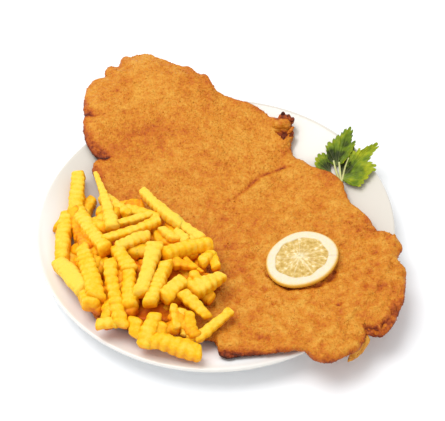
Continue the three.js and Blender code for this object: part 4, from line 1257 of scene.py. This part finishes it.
def lemon_form(segments, columns):
    """Rings about a hub that slides off the centre as they shrink. The flesh is sunk between the walls of
    the segments, a bell on the angle to the nearest wall, and is dimpled by noise."""
    r, z, on_top = (values[:, None] for values in lemon_profile())
    angle = circle(columns)
    oval = 1 + LEMON["stretch"] * np.cos(2 * (angle - LEMON["long_axis"]))
    lopsided = oval * (1 + 0.008 * np.cos(3 * angle + 0.4) + 0.006 * np.sin(5 * angle))
    flesh_edge = LEMON["radius"] - LEMON["pith"] + 0.6 * np.cos(5 * angle + 1) + 0.4 * np.sin(9 * angle)
    slide = 1 - r / LEMON["radius"]
    x = r * lopsided * np.cos(angle) + slide * LEMON["hub"][0]
    y = r * lopsided * np.sin(angle) + slide * LEMON["hub"][1]
    wobble = 0.22 * np.sin(3 * angle + 0.6) + 0.16 * np.sin(2 * angle + 2)
    part = np.mod((angle + wobble) * segments / (2 * np.pi), 1)
    to_wall = np.minimum(part, 1 - part) * 2 * np.pi / segments * r
    flesh = smooth((flesh_edge - r) / 0.8) * on_top
    broken = np.clip(0.3 + 0.5 * polar_noise(angle, r, *LEMON_NOISE["walls"]), 0, 1)
    walls = bell(to_wall, LEMON["wall"]) * smooth((r - 1) / 3) * broken
    membrane = np.clip(walls + bell(r, 2.5, 4) + 0.5 * bell(r, 6), 0, 1) * flesh
    dimples = LEMON["dimple"] * polar_noise(angle, r, *LEMON_NOISE["dimples"])
    height = z + flesh * (dimples - LEMON["recess"] * (1 - membrane))
    rind = smooth((r - (LEMON["radius"] - 2.6)) / 1.8) * (1 - 0.15 * on_top)
    rings = np.stack([x, y, height], -1)
    points, faces = skin(rings)
    shape = rings.shape[:2]
    maps = {"flesh": flesh, "membrane": membrane, "rind": rind}
    maps = {key: np.append(np.broadcast_to(value, shape).ravel(), [0, 1 if key != "rind" else 0])
            for key, value in maps.items()}
    polar = np.stack(np.broadcast_arrays(angle / (2 * np.pi), r / LEMON["radius"]), -1).reshape(-1, 2)
    return points, faces, maps, np.vstack([polar, [[0, 0], [0, 0]]])


def laid_on_sheet(points):
    """Tilted as the schnitzel's top is round the slice's centre, and raised until every point clears it."""
    cx, cy = LEMON["centre"]
    reach = LEMON["radius"]
    east = (sheet_top(cx + reach, cy) - sheet_top(cx - reach, cy)) / (2 * reach)
    north = (sheet_top(cx, cy + reach) - sheet_top(cx, cy - reach)) / (2 * reach) + LEMON["tilt"]
    up = np.array([-east, -north, 1.0])
    up /= np.linalg.norm(up)
    first = np.cross([0, 1, 0], up)
    first /= np.linalg.norm(first)
    turned = points @ np.stack([first, np.cross(up, first), up])
    turned[:, :2] += LEMON["centre"]
    lift = (sheet_top(turned[:, 0], turned[:, 1]) - turned[:, 2]).max() + LEMON["gap"]
    return turned + [0, 0, lift]


# ---------------------------------------------------------------- parsley

def ground_under_sprig(x, y):
    """The plate's top, carried on level past its rim."""
    r = np.maximum(distance(x, y), 1e-6)
    share = np.minimum(1, (PLATE["radius"] - PLATE["lip"]) / r)
    return plate_top(x * share, y * share)


def nearest_vein(x, y, leaf):
    """Distance to the nearest of a leaf's veins, which run straight from its base to their tips."""
    return np.min([distance_to_run(x, y, [leaf["base"], tip]) for tip in leaf["veins"]], 0)


def leaf_plan(leaf, v):
    """A leaf spread from its base to a curve through its outline, which is drawn in between the veins and
    toothed by a sine of the way travelled round it."""
    base = np.array(leaf["base"], float)
    border = closed_curve([leaf["base"], *leaf["outline"]], LEAF_STEPS)[LEAF_STEPS : 1 - LEAF_STEPS]
    travelled = np.cumsum(np.hypot(*np.gradient(border, axis=0).T))
    sinus = SPRIG["drawn_in"] * v**2 * smooth((nearest_vein(*border.T, leaf) - 2) / 4)
    teeth = SPRIG["tooth_depth"] * v**3 * np.abs(np.sin(np.pi * travelled / SPRIG["tooth"])) ** 6
    place = base + (border - base) * (v * (1 - teeth - sinus))[..., None]
    return place[..., 0], place[..., 1]


def leaf_form(leaf, seed):
    """The leaf's plan, folded down along each vein, waved by noise, and with ribs that branch off its
    veins, for which there is a map, as there is for how young each place is, less the painted shade."""
    v = np.linspace(0.03, 1, LEAF_ROWS)[:, None]
    x, y = leaf_plan(leaf, v)
    nearest = nearest_vein(x, y, leaf)
    ripple = sum(high * lattice_noise(flat(x, y), size, seed + k)
                 for k, (high, size) in enumerate(SPRIG["ripples"]))
    groove = SPRIG["groove"] * bell(nearest, SPRIG["groove_width"])
    fold = SPRIG["fold"] * np.minimum(nearest, SPRIG["fold_reach"]) - groove
    height = ground_under_sprig(x, y) + leaf["lift"] + leaf["rise"] * v**1.5 + (fold + ripple) * smooth(v * 2)
    from_base = np.hypot(x - leaf["base"][0], y - leaf["base"][1])
    between_ribs = np.mod(from_base / SPRIG["rib_spacing"] - nearest * SPRIG["rib_slant"], 1) - 0.5
    ribs = bell(between_ribs, SPRIG["rib_width"]) * smooth(nearest - SPRIG["vein_width"])
    vein = np.clip(bell(nearest, SPRIG["vein_width"]) * (1 - 0.6 * v) + 0.4 * ribs, 0, 1)
    # Painted shade: darker round the shaded place and between the veins near the base.
    dark = 0.7 * spots(x, y, [(*leaf["shade"], 1)]) + 0.3 * smooth((nearest - 2) / 3) * (1 - v)
    young = leaf["young"] + 0.3 * v**3 - dark + 0.2 * ripple
    grid = np.stack([x, y, height], -1)
    points, faces = double_sheet(grid, grid - [0, 0, SPRIG["leaf_thickness"]])
    pale = SPRIG["paleness"] * vein
    return points, outward(points, faces), np.tile(pale.ravel(), 2), np.tile(young.ravel(), 2)


def stem_form(points, radius):
    """A tube that tapers a little, along the parabola through three points over the plate."""
    t = np.linspace(0, 1, 16)
    path = parabola(t, points)
    path[:, 2] += ground_under_sprig(path[:, 0], path[:, 1])
    return tube(path, radius * (1 - 0.3 * t), 10)


# ---------------------------------------------------------------- settings

def colour_setting(name, description, default):
    """A colour property."""
    return bpy.props.FloatVectorProperty(
        name=name, description=description, subtype="COLOR", size=3, min=0, max=1, default=default
    )


def factor_setting(name, description, default, most=1):
    """A property from 0 to most."""
    return bpy.props.FloatProperty(
        name=name, description=description, default=default, min=0, max=most, subtype="FACTOR"
    )


def length_setting(name, description, default, least):
    """A length in metres, shown to a hundredth of a millimetre."""
    return bpy.props.FloatProperty(
        name=name, description=description, default=default, min=least, subtype="DISTANCE", unit="LENGTH",
        precision=5
    )


def count_setting(name, description, default, least):
    """A whole number of pieces or steps."""
    return bpy.props.IntProperty(name=name, description=description, default=default, min=least)


def power_setting(name, description, default):
    """The power of a light."""
    return bpy.props.FloatProperty(name=name, description=description, default=default, min=0, unit="POWER")


def angle_setting(name, description, degrees):
    """An angle, given here in degrees."""
    return bpy.props.FloatProperty(
        name=name, description=description, default=math.radians(degrees), subtype="ANGLE", unit="ROTATION"
    )


class SchnitzelPlateSettings(bpy.types.PropertyGroup):
    """Sizes and colours of the plate."""

    glaze: colour_setting("Glaze", "White of the glaze", colour(250, 251, 251))
    # Shade is the glaze's colour where shade is painted on, towards the far side and on the rim.
    shade: colour_setting("Shade", "The glaze where it is thicker and creamier", colour(215, 209, 198))
    roughness: factor_setting("Roughness", "How dull the glaze is", 0.16)
    columns: count_setting("Columns", "Steps round the plate", 192, 48)


class SchnitzelCrustSettings(bpy.types.PropertyGroup):
    """Sizes and colours of the breadcrumb crust."""

    pale: colour_setting("Pale", "The least fried crumbs", colour(222, 159, 57))
    golden: colour_setting("Golden", "Most of the crust", colour(208, 128, 28))
    deep: colour_setting("Deep", "Well fried crust", colour(190, 96, 16))
    # Brown and burnt also colour the painted shade of folds, grooves, hollows, pits and shaded side faces.
    brown: colour_setting("Brown", "Edges and folds", colour(144, 58, 14))
    burnt: colour_setting("Burnt", "Tips and scorched edges", colour(62, 20, 7))
    crumb_height: length_setting("Crumb height", "How far crumbs stand out", 0.45 * MM, 0)
    cells: count_setting("Cells", "Cells along a side of the grid", 250, 40)
    crumbs: count_setting("Crumbs", "Loose crumbs on the crust", 9000, 0)


class SchnitzelFriesSettings(bpy.types.PropertyGroup):
    """Sizes and colours of the fries."""

    # Cream and yellow also give the painted highlight on crests and tops; deep the painted shade in grooves
    # and underneath.
    cream: colour_setting("Cream", "Pale fries", colour(243, 203, 72))
    yellow: colour_setting("Yellow", "Lightly fried potato", colour(246, 185, 15))
    golden: colour_setting("Golden", "Fried potato", colour(236, 152, 4))
    deep: colour_setting("Deep", "Toasted ends and grooves", colour(206, 98, 3))
    glow: factor_setting("Glow", "How much light passes under the surface", 0.3)
    pitch: length_setting("Crinkle pitch", "Length of one crinkle", 6 * MM, 1 * MM)
    depth: factor_setting("Crinkle depth", "Height of a crinkle, as a share of half the fry", 0.095, 0.3)
    hidden: count_setting("Hidden fries", "Fries in each layer low in the heap", 34, 0)


class SchnitzelLemonSettings(bpy.types.PropertyGroup):
    """Sizes and colours of the lemon slice."""

    rind: colour_setting("Rind", "The yellow skin", colour(224, 176, 60))
    pith: colour_setting("Pith", "The white ring", colour(229, 220, 198))
    pith_shade: colour_setting("Pith shade", "The white ring's creamy patches", colour(227, 211, 172))
    flesh: colour_setting("Flesh", "Flesh between the juice cells", colour(214, 182, 106))
    juice: colour_setting("Juice", "The juice cells", colour(186, 148, 60))
    membrane: colour_setting("Membrane", "Walls of the segments", colour(236, 222, 178))
    segments: count_setting("Segments", "Segments of the lemon", 10, 6)


class SchnitzelParsleySettings(bpy.types.PropertyGroup):
    """Colours of the parsley."""

    # Dark also colours the painted shade of the leaves.
    dark: colour_setting("Dark", "Folds and shaded leaf", colour(40, 52, 6))
    green: colour_setting("Green", "Most of the leaf", colour(100, 124, 12))
    young: colour_setting("Young", "Yellow-green tips", colour(168, 174, 20))
    vein: colour_setting("Vein", "Veins and stems", colour(206, 206, 140))


class SchnitzelStageSettings(bpy.types.PropertyGroup):
    """Light, floor and camera."""

    floor: colour_setting("Floor", "Colour of the floor", (0.94, 0.951, 0.966))
    key: power_setting("Key light", "Power of the main light", 26)
    fill: power_setting("Fill light", "Power of the light in front", 2)
    sky: bpy.props.FloatProperty(
        name="Sky", description="Strength of the light all round", default=0.76, min=0
    )
    lens: bpy.props.FloatProperty(
        name="Lens", description="Focal length on a 36 mm sensor", default=110.12, min=10, unit="CAMERA"
    )
    elevation: angle_setting("Elevation", "Camera's height above the horizon", 48.377)
    roll: angle_setting("Roll", "Camera's turn about its view", -1.747)
    distance: length_setting("Distance", "From the camera to what it looks at", 1.15, 0.2)
    target: bpy.props.FloatVectorProperty(
        name="Target", description="What the camera looks at, from the plate's centre", size=3,
        subtype="XYZ", unit="LENGTH", default=(0.006279, 0.013355, 0.024)
    )


# ---------------------------------------------------------------- operators

class SCHNITZEL_OT_plate(bpy.types.Operator):
    """Turns the plate from its profile"""

    bl_idname = "schnitzel.plate"
    bl_label = "Plate"

    def execute(self, context):
        settings = context.scene.schnitzel_plate
        points, faces = plate_form(settings.columns)
        material = porcelain_material(settings)
        # The cream map is the painted shade of the glaze.
        maps = {"cream": glaze_painted_shade(points)}
        place_piece("dinner_plate", points, outward(points, faces), material, "plate", maps)
        return {"FINISHED"}


UNDER_CRUMBS = 0.3  # how high crumbs stand underneath, as a share of those on top
# Loose crumbs: their sizes, of which a few are larger by up to "extra"; how far out their middles lie, as a
# share of the size; how much paler or browner than the crust they are; how many lie on the edge for each
# one on top; and the browning past which there are none.
CRUMB = {
    "least": 0.26, "most": 0.5, "extra": 0.35, "power": 0.2, "out": 0.1,
    "paler": 0.2, "browner": 0.08, "on_edge": 1.6, "darkest": 0.9,
}
TIP_ROWS, TIP_SIDES = 30, 26
LUMP_HEIGHT, LUMP_SIZE, LUMP_SEED = 0.22, 0.9, 81  # lumps of the tips, as shares of their radius
BOX_MARGIN = 0.1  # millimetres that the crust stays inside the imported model's box


class SCHNITZEL_OT_crust(bpy.types.Operator):
    """Lays the breaded schnitzel over the plate, with its loose crumbs and scorched tips"""

    bl_idname = "schnitzel.crust"
    bl_label = "Schnitzel"

    def execute(self, context):
        settings = context.scene.schnitzel_crust
        rng = np.random.default_rng(7)
        points, faces, turned = sheet_form(settings.cells)
        normals = point_normals(points, faces)
        smoother = np.where(turned > 0.95, UNDER_CRUMBS, 1)
        points += normals * (crumb_relief(points, settings.crumb_height / MM) * smoother)[:, None]
        low, high = ((np.array(corner) - CENTRE) / MM for corner in CAD_BOX)
        points[:, :2] = np.clip(points[:, :2], low[:2] + BOX_MARGIN, high[:2] - BOX_MARGIN)
        material = crust_material(settings)
        heat = browning_and_painted_shade(points, turned)
        browned = {"browning_and_painted_shade": heat}
        place_piece("breaded_schnitzel", points, faces, material, "schnitzel", browned)
        self.add_crumbs(settings, points, normals, turned, heat, material, rng)
        self.add_tips(material)
        return {"FINISHED"}

    def add_crumbs(self, settings, points, normals, turned, heat, material, rng):
        """Chips at random points of the crust, partly sunk in it; more of them on the edge, none below or
        on the darkest places, and none past the crust's own box."""
        weight = np.where(turned < 0.05, 1.0, np.where(turned < 0.9, CRUMB["on_edge"], 0.0))
        weight[heat > CRUMB["darkest"]] = 0
        picked = rng.choice(len(points), settings.crumbs, replace=False, p=weight / weight.sum())
        sizes = rng.uniform(CRUMB["least"], CRUMB["most"], settings.crumbs)
        sizes += CRUMB["extra"] * rng.power(CRUMB["power"], settings.crumbs)
        centres = points[picked] + normals[picked] * (sizes * CRUMB["out"])[:, None]
        form, faces = chips(centres, sizes, rng)
        form = np.clip(form, points.min(0), points.max(0))
        change = rng.uniform(-CRUMB["paler"], CRUMB["browner"], settings.crumbs)
        browned = np.repeat(heat[picked] + change, CHIP_CORNERS)
        place_piece("loose_crumbs", form, faces, material, None, {"browning_and_painted_shade": browned})

    def add_tips(self, material):
        """Tubes along parabolas through three points, thickest in the middle and roughened by crumbs."""
        parts, heats = [], []
        t = np.linspace(0, 1, TIP_ROWS)
        for start, middle, end, radius, brown in TIPS:
            path = parabola(t, (start, middle, end))
            radii = radius * np.sqrt(np.clip(1 - np.abs(2 * t - 1) ** 3, 0.02, 1))
            points, faces = tube(path, radii, TIP_SIDES)
            faces = outward(points, faces)
            normals = point_normals(points, faces)
            rough = LUMP_HEIGHT * radius * lattice_noise(points, LUMP_SIZE * radius, LUMP_SEED)
            rough += noises(points, "tip crumbs")
            points += normals * rough[:, None]
            heats.append(brown + noises(points, "tip heat"))
            parts.append((points, faces))
        points, faces = joined(parts)
        browned = {"browning_and_painted_shade": np.concatenate(heats)}
        place_piece("crumb_tips", points, faces, material, None, browned)


class SCHNITZEL_OT_fries(bpy.types.Operator):
    """Heaps the crinkle-cut fries, over more fries and a core that fill the heap"""

    bl_idname = "schnitzel.fries"
    bl_label = "Fries"

    def execute(self, context):
        settings = context.scene.schnitzel_fries
        rng = np.random.default_rng(3)
        crinkle = {"pitch": settings.pitch / MM, "depth": settings.depth}
        material = potato_material(settings)
        self.add_heap("crinkle_fries", np.array(FRIES, float), crinkle, FRY_SIDES, material, rng)
        hidden = hidden_fries(settings.hidden, rng)
        self.add_heap("lower_fries", hidden, crinkle, HIDDEN_FRY_SIDES, material, rng)
        points, faces = core_form(CORE["columns"], CORE["rings"])
        # The core's deepest toast is painted shade in the gaps of the heap.
        deep = {"toast": np.full(len(points), 1.0), "crest_highlight": np.zeros(len(points))}
        place_piece("heap_core", points, outward(points, faces), material, "fries", deep)
        return {"FINISHED"}

    def add_heap(self, name, fries, crinkle, sides, material, rng):
        """All the fries of a list as one mesh."""
        ends = fry_ends(fries)
        made = [fry_form(*pair, fry[4:6], crinkle, sides, rng) for pair, fry in zip(ends, fries)]
        points, faces = joined([(form, outward(form, group)) for form, group, _, _ in made])
        toast = np.concatenate([extra + fry[7] for (_, _, _, extra), fry in zip(made, fries)])
        maps = {"crest_highlight": np.concatenate([crest_highlight for _, _, crest_highlight, _ in made]), "toast": toast}
        place_piece(name, points, faces, material, "fries", maps)


class SCHNITZEL_OT_lemon(bpy.types.Operator):
    """Lays the lemon slice on the schnitzel"""

    bl_idname = "schnitzel.lemon"
    bl_label = "Lemon slice"

    def execute(self, context):
        settings = context.scene.schnitzel_lemon
        points, faces, maps, polar = lemon_form(settings.segments, LEMON_COLUMNS)
        points = laid_on_sheet(points)
        faces = outward(points, faces)
        material = lemon_material(settings)
        place_piece("lemon_round", points, faces, material, "lemon_slice", maps, polar)
        return {"FINISHED"}


STEM_PALENESS, STEM_YOUNG = 0.95, 0.4
FIRST_LEAF_SEED = 71


class SCHNITZEL_OT_parsley(bpy.types.Operator):
    """Puts the parsley sprig on the plate's rim"""

    bl_idname = "schnitzel.parsley"
    bl_label = "Parsley"

    def execute(self, context):
        parts, veins, young = [], [], []
        for line, radius in STEMS:
            stem, stem_faces = stem_form(line, radius)
            parts.append((stem, outward(stem, stem_faces)))
            veins.append(np.full(len(stem), STEM_PALENESS))
            young.append(np.full(len(stem), STEM_YOUNG))
        for index, leaf in enumerate(LEAVES):
            points, faces, vein, tone = leaf_form(leaf, FIRST_LEAF_SEED + 2 * index)
            parts.append((points, faces))
            veins.append(vein)
            young.append(tone)
        points, faces = joined(parts)
        maps = {"vein": np.concatenate(veins), "young": np.concatenate(young)}
        material = parsley_material(context.scene.schnitzel_parsley)
        place_piece("parsley_sprig", points, faces, material, "parsley", maps)
        return {"FINISHED"}


# Square lights and the floor, in metres from the plate's centre.
KEY_LIGHT = {"side": 1.3, "place": (-0.62, 0.18, 1.84)}
FILL_LIGHT = {"side": 1.6, "place": (0.5, -1.4, 1.5)}
FLOOR = {"reach": 3.0, "points": 9, "drop": 0.0002}


class SCHNITZEL_OT_stage(bpy.types.Operator):
    """Sets the pale floor, the soft light and the camera"""

    bl_idname = "schnitzel.stage"
    bl_label = "Stage"

    def execute(self, context):
        settings = context.scene.schnitzel_stage
        self.add_floor(context, settings)
        self.add_light(context, "key_light", settings.key, KEY_LIGHT)
        self.add_light(context, "fill_light", settings.fill, FILL_LIGHT)
        self.set_sky(context, settings)
        self.add_camera(context, settings)
        context.scene.view_settings.view_transform = "Standard"
        context.scene.view_settings.look = "None"
        return {"FINISHED"}

    def add_floor(self, context, settings):
        """A level sheet of paper, far wider than the view."""
        side = np.linspace(-FLOOR["reach"], FLOOR["reach"], FLOOR["points"])
        points = flat(*np.meshgrid(side, side)).reshape(-1, 3) - [0, 0, FLOOR["drop"]]
        mesh = bpy.data.meshes.new("floor")
        mesh.from_pydata(points, [], quads_of_grid(FLOOR["points"], FLOOR["points"]).tolist())
        mesh.materials.append(paper_material(settings))
        floor = bpy.data.objects.new("floor", mesh)
        context.scene.collection.objects.link(floor)

    def add_light(self, context, name, power, form):
        """A square light that faces the plate."""
        light = bpy.data.lights.new(name, "AREA")
        light.energy = power
        light.size = form["side"]
        lamp = bpy.data.objects.new(name, light)
        spot = np.array(form["place"]) + CENTRE
        lamp.location = spot
        lamp.rotation_euler = Vector(CENTRE - spot).to_track_quat("-Z", "Y").to_euler()
        context.scene.collection.objects.link(lamp)

    def set_sky(self, context, settings):
        """Even white light from all round."""
        world = bpy.data.worlds.new("soft_sky")
        world.use_nodes = True
        background = world.node_tree.nodes["Background"]
        background.inputs["Color"].default_value = (1.0, 1.0, 1.0, 1.0)
        background.inputs["Strength"].default_value = settings.sky
        context.scene.world = world

    def add_camera(self, context, settings):
        """Looks down at the target from the front, turned a little about its view."""
        high, roll = settings.elevation, settings.roll
        ahead = np.array([0, math.cos(high), -math.sin(high)])
        level, steep = np.array([1.0, 0, 0]), np.array([0, math.sin(high), math.cos(high)])
        right = math.cos(roll) * level + math.sin(roll) * steep
        up = math.cos(roll) * steep - math.sin(roll) * level
        place = CENTRE + np.array(settings.target) - ahead * settings.distance
        camera = bpy.data.objects.new("camera", bpy.data.cameras.new("camera"))
        camera.data.sensor_width = 36
        camera.data.lens = settings.lens
        rows = [[*row, place[i]] for i, row in enumerate(np.stack([right, up, -ahead], -1))]
        camera.matrix_world = Matrix([*rows, [0, 0, 0, 1]])
        context.scene.collection.objects.link(camera)
        context.scene.camera = camera


class SCHNITZEL_PT_sidebar(bpy.types.Panel):
    """Lists the meal's operators"""

    bl_label = "Schnitzel"
    bl_idname = "SCHNITZEL_PT_sidebar"
    bl_space_type = "VIEW_3D"
    bl_region_type = "UI"
    bl_category = "Schnitzel"

    def draw(self, context):
        for operator in OPERATORS:
            self.layout.operator(operator.bl_idname)


SETTINGS = {
    "schnitzel_plate": SchnitzelPlateSettings,
    "schnitzel_crust": SchnitzelCrustSettings,
    "schnitzel_fries": SchnitzelFriesSettings,
    "schnitzel_lemon": SchnitzelLemonSettings,
    "schnitzel_parsley": SchnitzelParsleySettings,
    "schnitzel_stage": SchnitzelStageSettings,
}
OPERATORS = [
    SCHNITZEL_OT_plate, SCHNITZEL_OT_crust, SCHNITZEL_OT_fries,
    SCHNITZEL_OT_lemon, SCHNITZEL_OT_parsley, SCHNITZEL_OT_stage,
]


def register():
    for group in SETTINGS.values():
        bpy.utils.register_class(group)
    for name, group in SETTINGS.items():
        setattr(bpy.types.Scene, name, bpy.props.PointerProperty(type=group))
    for operator in OPERATORS:
        bpy.utils.register_class(operator)
    bpy.utils.register_class(SCHNITZEL_PT_sidebar)


def unregister():
    bpy.utils.unregister_class(SCHNITZEL_PT_sidebar)
    for operator in reversed(OPERATORS):
        bpy.utils.unregister_class(operator)
    for name in SETTINGS:
        delattr(bpy.types.Scene, name)
    for group in reversed(SETTINGS.values()):
        bpy.utils.unregister_class(group)


def main():
    register()
    bpy.ops.schnitzel.stage()
    bpy.ops.schnitzel.plate()
    bpy.ops.schnitzel.crust()
    bpy.ops.schnitzel.fries()
    bpy.ops.schnitzel.lemon()
    bpy.ops.schnitzel.parsley()


if __name__ == "__main__":
    main()
